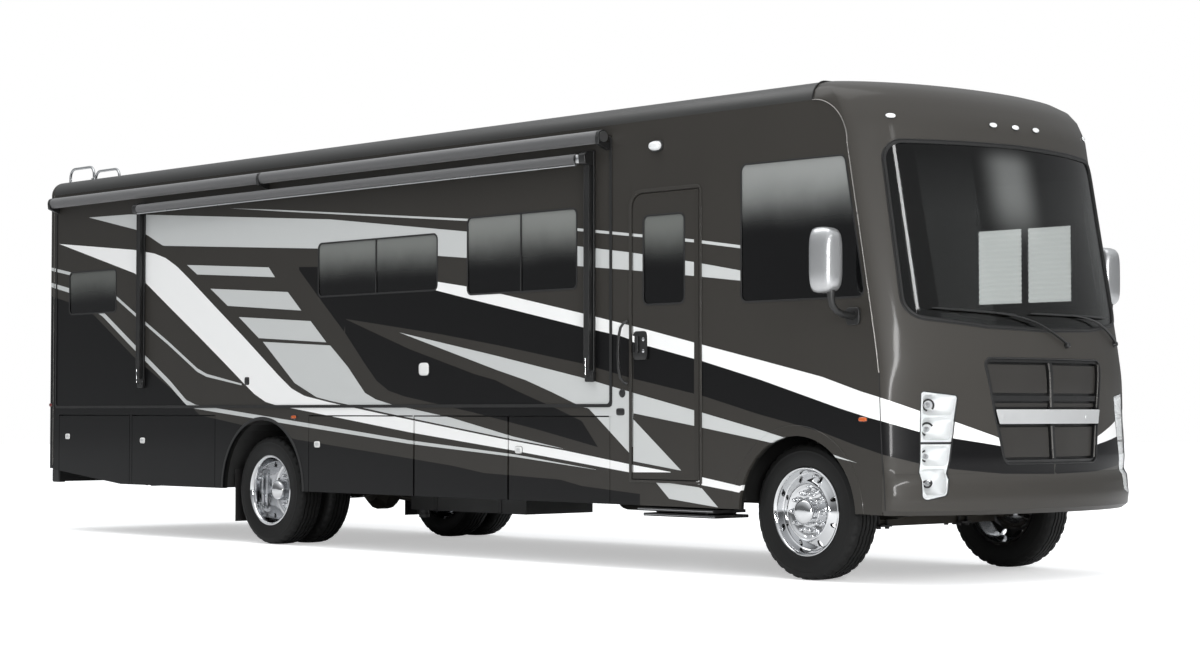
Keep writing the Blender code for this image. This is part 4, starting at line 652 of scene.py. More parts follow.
# %% Points on the front cap
CAP = [
    # height, X at the middle, half width, corner depth
    (0.46, 5.515, 1.262, 0.4), (0.49, 5.55, 1.2825, 0.4), (0.56, 5.56, 1.2825, 0.4),
    (0.69, 5.548, 1.2825, 0.4), (0.73, 5.52, 1.2825, 0.4), (0.816, 5.528, 1.2825, 0.4),
    (1.094, 5.513, 1.2825, 0.4), (1.28, 5.5095, 1.2825, 0.4), (1.34, 5.507, 1.2825, 0.4),
    (1.39, 5.5025, 1.2825, 0.4), (1.44, 5.496, 1.2825, 0.4), (1.487, 5.4885, 1.2825, 0.4),
    (1.56, 5.477, 1.2825, 0.4), (1.675, 5.458, 1.2825, 0.4), (2.908, 5.233, 1.2825, 0.4),
    (3.053, 5.208, 1.2825, 0.4), (3.12, 5.18, 1.2825, 0.4), (3.2, 5.138, 1.2825, 0.4),
    (3.265, 5.08, 1.265, 0.4), (3.31, 5.0, 1.22, 0.4), (3.33, 4.93, 1.1525, 0.36),
    (3.355, 4.7, 0.3, 0.15),
]
CAP_BACK, SCREEN_TOP = 4.53, 2.908
SQUARE, FULL = 2.2, 1.4


def cap_section(z):
    """X at the middle, half width and corner depth of the nose at a height."""
    for (z0, *low), (z1, *high) in zip(CAP, CAP[1:]):
        if z <= z1:
            break
    share = (z - z0) / (z1 - z0)
    return [a + (b - a) * share for a, b in zip(low, high)]


def cap_point(y, z, proud=0.0):
    """The point of the nose at y and z, moved out by proud metres."""
    def surface_x(y, z):
        front, half, depth = cap_section(z)
        inner = max(0.0, 1 - (min(abs(y), half) / half) ** SQUARE)
        return front - depth + depth * inner ** (1 / FULL)

    x = surface_x(y, z)
    step = 0.004
    slope_y = (surface_x(y + step, z) - surface_x(y - step, z)) / (2 * step)
    slope_z = (surface_x(y, z + step) - surface_x(y, z - step)) / (2 * step)
    normal = Vector((1.0, -slope_y, -slope_z)).normalized()
    return Vector((x, y, z)) + normal * proud


print("bumper front at", [round(v, 3) for v in cap_point(0, 0.56)])

# %% [markdown]
# ## Tyres
# The tread is cut into the turned section: four zigzag grooves round the tyre, and notches across both
# shoulders. Turning one profile keeps the ribs of the sidewall, and one function that moves its points
# step by step is lighter than cutting every groove. All six tyres share the mesh.

# %% Road tyres
SIDEWALL = [(0.2855, 0.1036), (0.2975, 0.104), (0.3015, 0.1078), (0.308, 0.1098), (0.32, 0.113),
    (0.324, 0.1152), (0.33, 0.1152), (0.334, 0.1165), (0.37, 0.1222), (0.395, 0.1214), (0.405, 0.1205),
    (0.408, 0.1215), (0.411, 0.12), (0.425, 0.116), (0.437, 0.111), (0.446, 0.104), (0.453, 0.096),
    (0.4566, 0.089)]
GROOVES = (-0.054, -0.019, 0.019, 0.054)
GROOVE_HALF, GROOVE_DEPTH, ZIGZAG = 0.005, 0.012, 0.0035
TREAD_STEPS = 216
tread = []
for middle in GROOVES:
    tread += [(0.46, middle + d) for d in (-GROOVE_HALF - 0.0012, -GROOVE_HALF + 0.0012,
        GROOVE_HALF - 0.0012, GROOVE_HALF + 0.0012)]
TYRE = [(r, -w) for r, w in SIDEWALL] + tread + list(reversed(SIDEWALL))
FIRST, LAST = len(SIDEWALL), len(SIDEWALL) + len(tread)


def tread_shape(i, k, radius, along):
    """Radius and place of tyre profile point i at step k round the tyre."""
    wave = ZIGZAG * (1 - abs(k % 12 - 6) / 3)
    if FIRST <= i < LAST:
        crown = 0.46 - 0.003 * (along / 0.088) ** 2
        deep = (i - FIRST) % 4 in (1, 2)
        sipe = 0.0035 if k % 6 == 0 else 0.0
        return crown - (GROOVE_DEPTH if deep else sipe), along + wave
    if radius > 0.443 and k % 6 < 2:
        return radius - 0.007, along * 0.985
    return radius, along


work = bmesh.new()
lathe(work, TYRE, (0, 0, 0), steps=TREAD_STEPS, shape=tread_shape)
tyre_mesh = smoothed("Tyre", work, FINISH["rubber"], 30)

FRONT_AXLE, REAR_AXLE, AXLE_Z = 4.33, -1.82, 0.46
FRONT_TRACK, REAR_TRACK, DUAL = 1.033, 1.093, 0.305
WHEELS = []
for side, word in SIDES:
    WHEELS.append(("front_tyre_" + word, "front_wheel_" + word, FRONT_AXLE, side * FRONT_TRACK))
    WHEELS.append(("rear_outer_tyre_" + word, "rear_wheels_" + word, REAR_AXLE, side * REAR_TRACK))
    WHEELS.append(("rear_inner_tyre_" + word, "rear_wheels_" + word, REAR_AXLE, side * (REAR_TRACK - DUAL)))
for node, body, x, y in WHEELS:
    tyre = placed("road_" + node, tyre_mesh)
    tyre.location = (x, y, AXLE_Z)
    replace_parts(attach(tyre, body), node)
print(len(WHEELS), "tyres of", sum(len(p.vertices) - 2 for p in tyre_mesh.polygons), "triangles each")

# %% [markdown]
# ## Wheels
# The front wheels wear a convex polished disc, the rear ones a deep dish with the hub standing in it. Both
# have oval hand holes and ten capped nuts. The holes are cut with a boolean, because only a real hole goes
# dark from every side.

# %% Rims, nuts and hubs
FRONT_RIM = [
    (0.0, 0.158), (0.036, 0.157), (0.062, 0.153), (0.078, 0.144), (0.086, 0.13), (0.088, 0.112),
    (0.088, 0.084), (0.094, 0.08), (0.158, 0.079), (0.166, 0.083), (0.174, 0.09), (0.182, 0.093),
    (0.19, 0.091), (0.196, 0.084), (0.206, 0.078), (0.224, 0.068), (0.243, 0.057), (0.255, 0.053),
    (0.262, 0.058), (0.268, 0.074), (0.273, 0.092), (0.279, 0.106), (0.287, 0.1145), (0.293, 0.116),
    (0.2985, 0.1125), (0.2985, 0.105), (0.2848, 0.1048), (0.2848, -0.1048), (0.2985, -0.105),
    (0.2985, -0.1165), (0.276, -0.11), (0.266, -0.02), (0.243, 0.04), (0.2, 0.06), (0.11, 0.07),
    (0.06, 0.07), (0.0, 0.07),
]
REAR_RIM = [
    (0.0, 0.062), (0.03, 0.061), (0.055, 0.058), (0.074, 0.05), (0.083, 0.038), (0.087, 0.02),
    (0.09, -0.06), (0.096, -0.086), (0.106, -0.092), (0.168, -0.094), (0.176, -0.1), (0.184, -0.112),
    (0.196, -0.12), (0.228, -0.122), (0.242, -0.114), (0.251, -0.096), (0.257, -0.05), (0.262, 0.01),
    (0.267, 0.07), (0.274, 0.1), (0.282, 0.1115), (0.29, 0.116), (0.2985, 0.1125), (0.2985, 0.105),
    (0.2848, 0.1048), (0.2848, -0.1048), (0.2985, -0.105), (0.2985, -0.115), (0.27, -0.125),
    (0.27, -0.18), (0.2985, -0.19), (0.2985, -0.2), (0.2848, -0.2002), (0.2848, -0.4098),
    (0.2985, -0.41), (0.2985, -0.422), (0.276, -0.415), (0.262, -0.32), (0.25, -0.18),
    (0.232, -0.15), (0.16, -0.15), (0.155, -0.3), (0.1, -0.4), (0.0, -0.4),
]
NUT = [(0.0, 0.05), (0.008, 0.0485), (0.0125, 0.044), (0.0145, 0.036), (0.0165, 0.012), (0.021, 0.008),
    (0.021, -0.004), (0.0, -0.004)]
NUTS = 10


def carved(base, steps):
    """The bmesh left after each (operation, tool) on base. Base and tools are used up."""
    for operation, tool in steps:
        cut = base.modifiers.new(operation, "BOOLEAN")
        cut.operation, cut.object, cut.solver = operation, tool, "EXACT"
        mesh = bpy.data.meshes.new_from_object(base.evaluated_get(bpy.context.evaluated_depsgraph_get()))
        base.modifiers.remove(cut)
        base.data = mesh
        bpy.data.objects.remove(tool)
    work = bmesh.new()
    work.from_mesh(base.data)
    bpy.data.objects.remove(base)
    return work


def hole_cutter(circle, wide, long, low, high):
    """Eight oval plugs round the Y axis, long across the radius."""
    work = bmesh.new()
    for k in range(8):
        angle = tau * (k + 0.5) / 8
        out, across = Vector((cos(angle), sin(angle))), Vector((-sin(angle), cos(angle)))
        outline = [tuple(out * (circle + long * cos(t)) + across * wide * sin(t)) for t in turns(20)]
        prism(work, outline, "y", low, high)
    return solid(work, "Hole plugs")


def rim_mesh(name, profile, circle, reach, nut_face):
    """A turned rim with its hand holes cut and its nuts and valve in place, facing +Y."""
    work = bmesh.new()
    lathe(work, profile, (0, 0, 0), steps=96)
    work = carved(solid(work, name), [("DIFFERENCE", hole_cutter(circle, 0.0165, 0.0235, *reach))])
    for k in range(NUTS):
        angle = tau * k / NUTS
        x, z = 0.1275 * cos(angle), 0.1275 * sin(angle)
        nut = bmesh.new()
        lathe(nut, NUT, (x, nut_face, z), steps=12)
        extra = bpy.data.meshes.new("Nut")
        nut.to_mesh(extra)
        nut.free()
        work.from_mesh(extra)
        bpy.data.meshes.remove(extra)
    tube(work, [(0.244 * cos(1.9), reach[0], 0.244 * sin(1.9)), (0.252 * cos(1.9), nut_face + 0.03,
        0.252 * sin(1.9)), (0.254 * cos(1.9), nut_face + 0.055, 0.254 * sin(1.9))], 0.004)
    return smoothed(name, work, FINISH["chrome"], 32)


rims = {
    "front": rim_mesh("Convex rim", FRONT_RIM, 0.229, (-0.06, 0.12), 0.0795),
    "rear": rim_mesh("Dished rim pair", REAR_RIM, 0.208, (-0.17, -0.06), -0.0935),
}
for side, word in SIDES:
    for key, node, body, x, track in (
            ("front", "front_rim_", "front_wheel_", FRONT_AXLE, FRONT_TRACK),
            ("rear", "rear_rims_", "rear_wheels_", REAR_AXLE, REAR_TRACK)):
        rim = placed("polished_" + node + word, rims[key])
        rim.location = (x, side * track, AXLE_Z)
        rim.rotation_euler.z = 0.0 if side > 0 else pi
        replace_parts(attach(rim, body + word), node + word)
print({key: len(mesh.polygons) for key, mesh in rims.items()}, "faces in the rims")

# %% [markdown]
# ## Nose and windscreen
# The moulded cap is skinned again from the same sections as the CAD cap, in finer steps, so that
# highlights run smoothly round its corners. The windscreen, grille and lamp openings are then cut with the
# CAD outlines.

# %% Outlines on the nose
WINDSCREEN = rounded([
    (-1.13, 1.75, 0.13), (-0.55, 1.69, 0.0), (0.0, 1.675, 0.0), (0.55, 1.69, 0.0), (1.13, 1.75, 0.13),
    (1.115, 2.9, 0.13), (0.0, 2.915, 0.0), (-1.115, 2.9, 0.13)], 8)
GRILLE = rounded([(-0.49, 0.79, 0.05), (0.49, 0.79, 0.05), (0.63, 1.478, 0.05), (-0.63, 1.478, 0.05)])
BLADE = rounded([(-0.533, 1.049, 0.006), (0.533, 1.049, 0.006), (0.56, 1.144, 0.006),
    (-0.56, 1.144, 0.006)], 2)
LAMP = rounded([(0.84, 1.233, 0.02), (0.895, 0.922, 0.0), (0.952, 0.59, 0.03), (1.112, 0.553, 0.03),
    (1.082, 1.262, 0.02)])
NOSE_STEPS, RING_PITCH = 40, 0.045


def grown(outline, by):
    """A polygon moved outward by so many metres, or inward if by is negative."""
    area = sum(a[0] * b[1] - b[0] * a[1] for a, b in zip(outline, outline[1:] + outline[:1]))
    result = []
    for k, here in enumerate(outline):
        before, after = outline[k - 1], outline[(k + 1) % len(outline)]
        way = Vector((after[0] - before[0], after[1] - before[1])).normalized()
        out = Vector((way.y, -way.x)) * (1 if area > 0 else -1)
        result.append((here[0] + out.x * by, here[1] + out.y * by))
    return result


def flipped(outline, side):
    """The outline for the curb side (-1) or the street side (1)."""
    return [(side * a, b) for a, b in outline]


def bar(outline, axis, low, high):
    """A cutting tool: an outline pushed along an axis."""
    work = bmesh.new()
    prism(work, outline, axis, low, high)
    return solid(work)


print(len(WINDSCREEN), "points round the windscreen,", len(LAMP), "round a lamp")


# %% Skin from the cap's sections
def nose_solid(inset, back, low=CAP[0][0], high=CAP[-1][0]):
    """The nose's volume, between two heights, under a skin that lies inset metres deep."""
    heights = []
    for (z0, *_), (z1, *_) in zip(CAP, CAP[1:]):
        count = max(1, round((z1 - z0) / RING_PITCH))
        heights += [z0 + (z1 - z0) * k / count for k in range(count)]
    heights = [low] + [z for z in heights + [CAP[-1][0]] if low < z < high] + [high]
    rings = []
    for z in heights:
        front, half, depth = cap_section(z)
        front, half, level = front - inset, half - inset, z
        if z > SCREEN_TOP:
            level -= inset * (z - SCREEN_TOP) / (CAP[-1][0] - SCREEN_TOP)
        if inset > 0 and z == heights[0]:
            level -= 0.05
        ring = [(back, -half, level)]
        for i in range(-NOSE_STEPS, NOSE_STEPS + 1):
            turn = pi / 2 * i / NOSE_STEPS
            share = abs(sin(turn)) ** (2 / SQUARE)
            bulge = cos(turn) ** (2 / FULL) if abs(i) < NOSE_STEPS else 0.0
            ring.append((front - depth + depth * bulge, copysign(share * half, i), level))
        rings.append(ring + [(back, half, level)])
    work = bmesh.new()
    loft(work, rings)
    return solid(work)


def nose_layer(near, far, outline, back=4.98, steps=()):
    """The part of the nose between two depths that lies inside an outline seen from the front."""
    low, high = min(b for a, b in outline) - 0.06, max(b for a, b in outline) + 0.06
    return carved(nose_solid(near, CAP_BACK, low, high),
        [("DIFFERENCE", nose_solid(far, CAP_BACK - 0.1, low - 0.01, high + 0.01)),
        ("INTERSECT", bar(outline, "x", back, 5.8)), *steps])


def joint_x(z):
    """Where the cap meets the side wall."""
    return cap_section(z)[0] - 0.4


JOINT_MIDDLE, JOINT_ARC = 2.89, 0.31
JOINT = [(joint_x(z), z) for z in (0.816, 1.399, 1.675)]
JOINT += [(CAP_BACK + (joint_x(JOINT_MIDDLE) - CAP_BACK) * cos(t), JOINT_MIDDLE + JOINT_ARC * sin(t))
    for t in turns(6, pi / 2)]


def wall_room(side):
    """The space behind the cap's joint that the side wall fills."""
    outline = [(4.4, 0.36), (joint_x(0.465), 0.36)] + JOINT + [(4.4, 3.2)]
    return bar(outline, "y", *sorted((side * 1.2372, side * 1.4)))


print("side wall joint at x", round(joint_x(JOINT_MIDDLE), 3), "and z", JOINT_MIDDLE)

# %% Cut the nose and glaze it
cuts = [("DIFFERENCE", nose_solid(0.045, CAP_BACK - 0.1)), ("DIFFERENCE", wall_room(-1)),
    ("DIFFERENCE", wall_room(1))]
for outline in (WINDSCREEN, GRILLE, LAMP, flipped(LAMP, -1)):
    cuts.append(("DIFFERENCE", bar(outline, "x", 4.6, 5.8)))
work = bmesh.new()
block(work, (4.43, -1.2374, 0.3), (4.98, 1.2374, 1.1))
cuts.append(("DIFFERENCE", solid(work)))
nose = piece("nose_skin", carved(nose_solid(0.0, CAP_BACK), cuts), PAINT["nose"], smooth=30)
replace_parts(nose, "front_cap")
glass = piece("curved_windscreen", nose_layer(0.006, 0.018, grown(WINDSCREEN, -0.0006), 4.6), screen,
    smooth=30)
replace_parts(glass, "windscreen")
print("nose", len(nose.data.polygons), "faces, windscreen", len(glass.data.polygons))


# %% Seals, beads and the cap joint
def loop_bead(name, points, radius, made, sides=8):
    """A thin rod along a closed line of points on the nose."""
    points = [Vector(p) for p in points]
    rings = []
    for k, point in enumerate(points):
        way = (points[(k + 1) % len(points)] - points[k - 1]).normalized()
        across = way.cross(Vector((1, 0, 0))).normalized()
        up = across.cross(way)
        rings.append([point + radius * (across * cos(t) + up * sin(t)) for t in turns(sides)])
    return shaped(name, made, loft, rings, closed=True)


def rod(name, points, radius, made, body="coach", sides=10, flat=1.0):
    """A rod as a piece of its own."""
    return shaped(name, made, tube, points, radius, sides, flat, body=body)


def dense(outline, pitch=0.03):
    """The outline with extra points along its long sides."""
    result = []
    for k, (a, b) in enumerate(outline):
        c, d = outline[(k + 1) % len(outline)]
        count = max(1, round(hypot(c - a, d - b) / pitch))
        result += [(a + (c - a) * i / count, b + (d - b) * i / count) for i in range(count)]
    return result


loop_bead("windscreen_seal", [cap_point(y, z, -0.001) for y, z in dense(WINDSCREEN)], 0.012, "seal")
loop_bead("windscreen_bead", [cap_point(y, z, 0.002) for y, z in dense(grown(WINDSCREEN, 0.014))], 0.004,
    "trim")
loop_bead("grille_surround", [cap_point(y, z, -0.001) for y, z in dense(grown(GRILLE, 0.003))], 0.006,
    "trim")
ARC = [(CAP_BACK + (joint_x(JOINT_MIDDLE) - CAP_BACK) * cos(t), JOINT_MIDDLE + JOINT_ARC * sin(t))
    for t in turns(16, pi / 2)]
upper = [(joint_x(z), z) for z in (1.38, 1.5, 1.675, 2.0, 2.4, 2.7)] + ARC
lower = [(joint_x(z), z) for z in (0.5, 0.7, 0.816, 1.1, 1.38)]
for side, word in SIDES:
    rod("cap_joint_moulding_" + word, [(x, side * HALF_WIDTH, z) for x, z in upper], 0.007, "moulding",
        flat=0.5)
    rod("cap_joint_sealant_" + word, [(x, side * 1.2823, z) for x, z in lower], 0.0035, "seal", sides=6)
EAVE_Y, EAVE_Z, EAVE_RADIUS = 1.1525, 3.2, 0.13      # centre and radius of the roof's rounded edge
crown = [(HALF_WIDTH, EAVE_Z)]
crown += [(EAVE_Y + EAVE_RADIUS * cos(t), EAVE_Z + EAVE_RADIUS * sin(t)) for t in turns(8, pi / 2)[1:]]
crown += [(0.3, 3.355), (0.0, 3.355)]
crown += [(-y, z) for y, z in reversed(crown[:-1])]
rod("cap_roof_seam", [(CAP_BACK, y, z + 0.001) for y, z in crown], 0.008, "seal", flat=0.6)
print("cap joint of", len(upper), "points a side")

# %% [markdown]
# ## Headlamps
# Each lamp is a metallised housing with four bowls, two above a dark divider and two below, under one
# clear cover. Real hollows are cut into the housing, since painted rings would not catch the light from
# the side.

# %% Lamp cover material
lens_cover, tree, surface = shader("Polycarbonate lamp cover, clear", IOR=1.25, Transmission_Weight=1.0)
place = add(tree, "TexCoord").outputs["Object"]
film = add(tree, "TexNoise", {"Vector": place, "Scale": 30.0, "Detail": 3.0})
haze = add(tree, "MapRange", {"Value": film, "To Min": 0.0, "To Max": 0.05})
tint = add(tree, "Mix", {"Factor": film, "A": (0.98, 0.98, 0.99, 1.0), "B": (0.94, 0.95, 0.96, 1.0)},
    data_type="RGBA")
tree.links.new(haze.outputs[0], surface.inputs["Roughness"])
tree.links.new(tint.outputs[2], surface.inputs["Base Color"])
print(lens_cover.name)

# %% Reflector bowls
CELLS = [(1.24, 1.104), (1.092, 0.944), (0.908, 0.776), (0.764, 0.59)]  # top and foot of each bowl
INNER_EDGE = [(0.553, 0.958), (0.922, 0.895), (1.262, 0.835)]
OUTER_EDGE = [(0.553, 1.112), (1.262, 1.082)]


def along_edge(rows, z):
    """Distance from the middle of the vehicle of a lamp's edge at a height."""
    for (z0, y0), (z1, y1) in zip(rows, rows[1:]):
        if z <= z1:
            break
    return y0 + (y1 - y0) * (z - z0) / (z1 - z0)


HOODS = [(-1.3, 3.9, 0.036), (-1.2, 2.6, 0.04), (-1.4, 1.4, 0.038), (0.0, 6.28, 0.03)]   # start, end, radius
BOWL = [
    # depth, share of the mouth, corner power, share of the way to the round bulb hole
    (-0.03, 1.0, 0.3, 0.0), (0.006, 0.99, 0.3, 0.0), (0.022, 0.93, 0.4, 0.1), (0.045, 0.76, 0.6, 0.4),
    (0.062, 0.52, 1.0, 0.8), (0.07, 0.36, 1.0, 1.0),
]


def bowl(work, side, top, foot):
    """One reflector, squarish at its mouth and round at its bulb, which sits towards the corner."""
    middle, half = (top + foot) / 2, (top - foot) / 2
    bulb = 0.72 * along_edge(OUTER_EDGE, middle) + 0.28 * along_edge(INNER_EDGE, middle)
    rings = []
    for depth, scale, power, lean in BOWL:
        ring = []
        for k in range(28):
            turn = tau * (k + 0.5) / 28
            u, v = (scale * way for way in squared(turn, power))
            z = middle + v * half
            near, far = along_edge(INNER_EDGE, z) + 0.012, along_edge(OUTER_EDGE, z) - 0.012
            flat_y, round_y = (near + far) / 2 + u * (far - near) / 2, bulb + u * half
            ring.append(cap_point(side * (flat_y + (round_y - flat_y) * lean), z, -depth))
        rings.append(ring)
    loft(work, rings)
    return bulb, middle


def bulb_shape(work, side, y, z):
    """A glass bulb in its collar, standing at the foot of a bowl."""
    foot = cap_point(side * y, z, -0.069)
    way = (cap_point(side * y, z, 0.1) - cap_point(side * y, z)).normalized()
    across = way.cross(Vector((0, 0, 1))).normalized()
    up = across.cross(way)
    loft(work, [[foot + way * level + radius * (across * cos(t) + up * sin(t)) for t in turns(16)]
        for level, radius in ((0.0, 0.018), (0.01, 0.018), (0.012, 0.013), (0.024, 0.013), (0.032, 0.01),
        (0.036, 0.005), (0.037, 0.001))])


for side, word in SIDES:
    outline = flipped(grown(LAMP, -0.0008), side)
    bulbs, hoods, tools = bmesh.new(), bmesh.new(), []
    for k, (top, foot) in enumerate(CELLS):
        work = bmesh.new()
        bulb, middle = bowl(work, side, top, foot)
        tools.append(("DIFFERENCE", solid(work)))
        bulb_shape(bulbs, side, bulb, middle)
        start, end, reach = HOODS[k]
        tube(hoods, [cap_point(side * (bulb + reach * cos(t)), middle + reach * sin(t), -0.052)
            for t in (start + (end - start) * i / 24 for i in range(25))], 0.0065, 8)
    tools.append(("DIFFERENCE", bar(flipped(rectangle(0.8, 1.25, 0.918, 0.934), side), "x", 5.0, 5.8)))
    housing = piece("headlamp_housing_" + word, nose_layer(0.006, 0.09, outline, 4.985, tools),
        "reflector", smooth=30)
    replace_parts(housing, "headlamp_" + word)
    gap = flipped(rectangle(0.902, 1.09, 0.9185, 0.9335), side)
    piece("headlamp_divider_" + word, nose_layer(0.012, 0.08, gap, 4.99), "trim")
    piece("headlamp_cover_" + word, nose_layer(0.0, 0.0035, outline, 4.985), lens_cover, smooth=30)
    piece("headlamp_bulbs_" + word, bulbs, "shell")
    piece("headlamp_hoods_" + word, hoods, "trim")
    loop_bead("headlamp_seal_" + word,
        [cap_point(y, z, -0.002) for y, z in dense(flipped(grown(LAMP, 0.001), side))], 0.004, "trim", 6)
print(len(CELLS), "bowls in each headlamp")

# %% [markdown]
# ## Grille
# A linished blade crosses four smooth dark panes, each a shallow raised panel with bevelled edges in the
# recess.

# %% Blade, strips and panes
piece("grille_blade", nose_layer(-0.0145, -0.0122, BLADE), "satin", edge=0.001)
for word, low_y, high_y in (("curb", -0.505, -0.36), ("street", 0.36, 0.505)):
    piece("grille_badge_blank_" + word, nose_layer(-0.0165, -0.0146, rectangle(low_y, high_y, 1.08, 1.11,
        0.006)), "satin")


def grille_edge(z):
    """Half width of the grille's recess at a height."""
    return 0.49 + (z - 0.79) / (1.478 - 0.79) * 0.14


for row, low_z, high_z in (("upper", 1.252, 1.44), ("middle", 1.16, 1.186), ("lower", 0.828, 1.03)):
    low_far, high_far = grille_edge(low_z) - 0.034, grille_edge(high_z) - 0.034
    for side, word in SIDES:
        pane = rounded([(side * 0.034, low_z, 0.004), (side * low_far, low_z, 0.012), (side * high_far,
            high_z, 0.012), (side * 0.034, high_z, 0.004)])
        piece("grille_pane_" + row + "_" + word, nose_layer(0.02, 0.0335, pane), "pane", edge=0.004)
for name, low_z, high_z in (("upper", 1.16, 1.452), ("lower", 0.822, 1.034)):
    piece("grille_strip_" + name, nose_layer(0.004, 0.0098, rectangle(-0.02, -0.01, low_z, high_z)),
        "moulding")
    edge_low, edge_high = grille_edge(low_z) - 0.016, grille_edge(high_z) - 0.016
    piece("grille_edge_strip_" + name, nose_layer(0.001, 0.0058, [
        (edge_low - 0.01, low_z), (edge_low, low_z), (edge_high, high_z), (edge_high - 0.01, high_z)]),
        "moulding")
print("grille half width", round(grille_edge(0.79), 3), "to", round(grille_edge(1.478), 3))

# %% [markdown]
# ## Behind the windscreen
# A black ceramic band is printed on the inside of the glass along its edge. Pillar covers stand behind it,
# and pleated day shades hang in the cab's side windows. Their glow is painted light, an emission that stands
# in for daylight coming through.

# %% Ceramic band and pillar covers
BAND_INNER = rounded([
    (-1.055, 1.8, 0.1), (-0.55, 1.728, 0.0), (0.0, 1.713, 0.0), (0.55, 1.728, 0.0), (1.055, 1.8, 0.1),
    (1.045, 2.852, 0.1), (0.0, 2.868, 0.0), (-1.045, 2.852, 0.1)], 8)
band = nose_layer(0.0186, 0.0206, grown(WINDSCREEN, -0.0006), 4.6,
    [("DIFFERENCE", bar(BAND_INNER, "x", 4.5, 5.9))])
piece("windscreen_band", band, "trim")
for side, word in SIDES:
    rod("pillar_cover_" + word, [cap_point(side * (1.035 + 0.002 * k), 1.8 + 0.131 * k, -0.06)
        for k in range(9)], [0.012, 0.024, 0.026, 0.026, 0.026, 0.026, 0.024, 0.02, 0.012], "pillar",
        flat=0.5)

print(len(BAND_INNER), "points round the clear part of the windscreen")

# %% Day shades
# the shades' finish glows by emission: painted light standing in for daylight through the window
SHADES = [(3.889, 4.288), (4.353, 4.74)]  # low x, high x
PLEAT, SHADE_Z = 0.018, (1.93, 2.478)
for side, word in SIDES:
    for k, (low_x, high_x) in enumerate(SHADES):
        count = round((SHADE_Z[1] - SHADE_Z[0]) / PLEAT)
        near, far = [], []
        for i in range(count + 1):
            z = SHADE_Z[0] + (SHADE_Z[1] - SHADE_Z[0]) * i / count
            deep = side * (1.246 - (0.008 if i % 2 else 0.0))
            near.append((deep, z))
            far.append((deep - side * 0.0012, z))
        shade = shaped(f"day_shade_{word}_{k + 1}", "shade", prism, near + list(reversed(far)), "x", low_x,
            high_x, smooth=5)
    work = bmesh.new()
    for low_x, high_x, low_z, high_z in ((3.86, 3.885, 1.88, 2.5), (4.292, 4.349, 1.88, 2.5),
            (4.744, 4.79, 1.88, 2.5), (3.86, 4.79, 2.482, 2.52), (3.86, 4.79, 1.885, 1.925)):
        block(work, (low_x, min(side * 1.237, side * 1.25), low_z),
            (high_x, max(side * 1.237, side * 1.25), high_z))
    piece("shade_frame_" + word, work, "trim", edge=0.002)
print(count, "pleats in each shade")

# %% [markdown]
# ## Lamps and small fittings
# Marker lamps are shallow domes in a dark base. One function lays a dome on any face from its centre and
# normal.


# %% Domes on a face
def axes(normal):
    """Two directions along a face, the second as upright as the face allows."""
    normal = Vector(normal).normalized()
    across = Vector((0, 0, 1)).cross(normal)
    across = across.normalized() if across.length > 0.1 else Vector((0, 1, 0))
    return normal, across, normal.cross(across)


def dome(work, centre, normal, half_wide, half_tall, proud, power=1.0, steps=28):
    """A cushion-shaped lens. power 1 makes an oval, smaller powers a rounded rectangle."""
    normal, across, up = axes(normal)
    rings = []
    for level, share in ((-0.15, 1.0), (0.3, 1.0), (0.6, 0.93), (0.85, 0.75), (0.96, 0.5), (1.0, 0.18)):
        ring = []
        for k in range(steps):
            turn = tau * (k + 0.5) / steps
            u, v = squared(turn, power)
            spot = Vector(centre) + across * (u * half_wide * share) + up * (v * half_tall * share)
            ring.append(spot + normal * (level * proud))
        rings.append(ring)
    loft(work, rings)


def fitting(name, body, centre, normal, half_wide, half_tall, proud, lens, power=1.0, rim=0.004):
    """A dome on a thin dark base plate."""
    base, cover = bmesh.new(), bmesh.new()
    dome(base, centre, normal, half_wide + rim, half_tall + rim, proud * 0.45, power)
    dome(cover, centre, normal, half_wide, half_tall, proud, power)
    piece(name + "_base", base, "trim", body)
    return piece(name + "_lens", cover, lens, body)


for k, (y, z) in enumerate(((-1.04, 3.07), (-0.23, 3.053), (0.0, 3.053), (0.23, 3.053), (1.04, 3.07))):
    spot = cap_point(y, z)
    fitting(f"clearance_lamp_{k + 1}", "coach", spot, cap_point(y, z, 0.1) - spot, 0.036, 0.017, 0.016,
        "clear")
WALL_LAMPS = [
    # name, X, Z, half width, half height, lens, corner power
    ("side_marker_front", 4.964, 1.079, 0.036, 0.014, "amber", 0.6),
    ("side_marker_middle", -1.364, 1.084, 0.036, 0.014, "amber", 0.6),
    ("side_marker_rear", -5.36, 1.193, 0.022, 0.014, "red", 0.6),
]
for side, word in SIDES:
    for name, x, z, wide, tall, lens, power in WALL_LAMPS:
        fitting(name + "_" + word, "coach", (x, side * 1.2827, z), (0, side, 0), wide, tall, 0.014, lens,
            power)
fitting("porch_lamp", "coach", (3.036, -1.2827, 3.01), (0, -1, 0), 0.058, 0.034, 0.05, "clear", 0.8, 0.008)
fitting("slide_port", "slide_room", (0.391, -1.2827, 1.463), (0, -1, 0), 0.062, 0.05, 0.018, "white", 0.5)
fitting("slide_vent", "slide_room", (-2.059, -1.2827, 1.392), (0, -1, 0), 0.03, 0.03, 0.012, "trim", 0.4)
fitting("water_inlet", "coach", (2.675, -1.2827, 1.262), (0, -1, 0), 0.028, 0.028, 0.014, "trim", 1.0)
fitting("cable_hatch", "coach", (2.655, -1.2827, 1.128), (0, -1, 0), 0.04, 0.022, 0.01, "trim", 0.5)
print(len(WALL_LAMPS), "lamps a side")

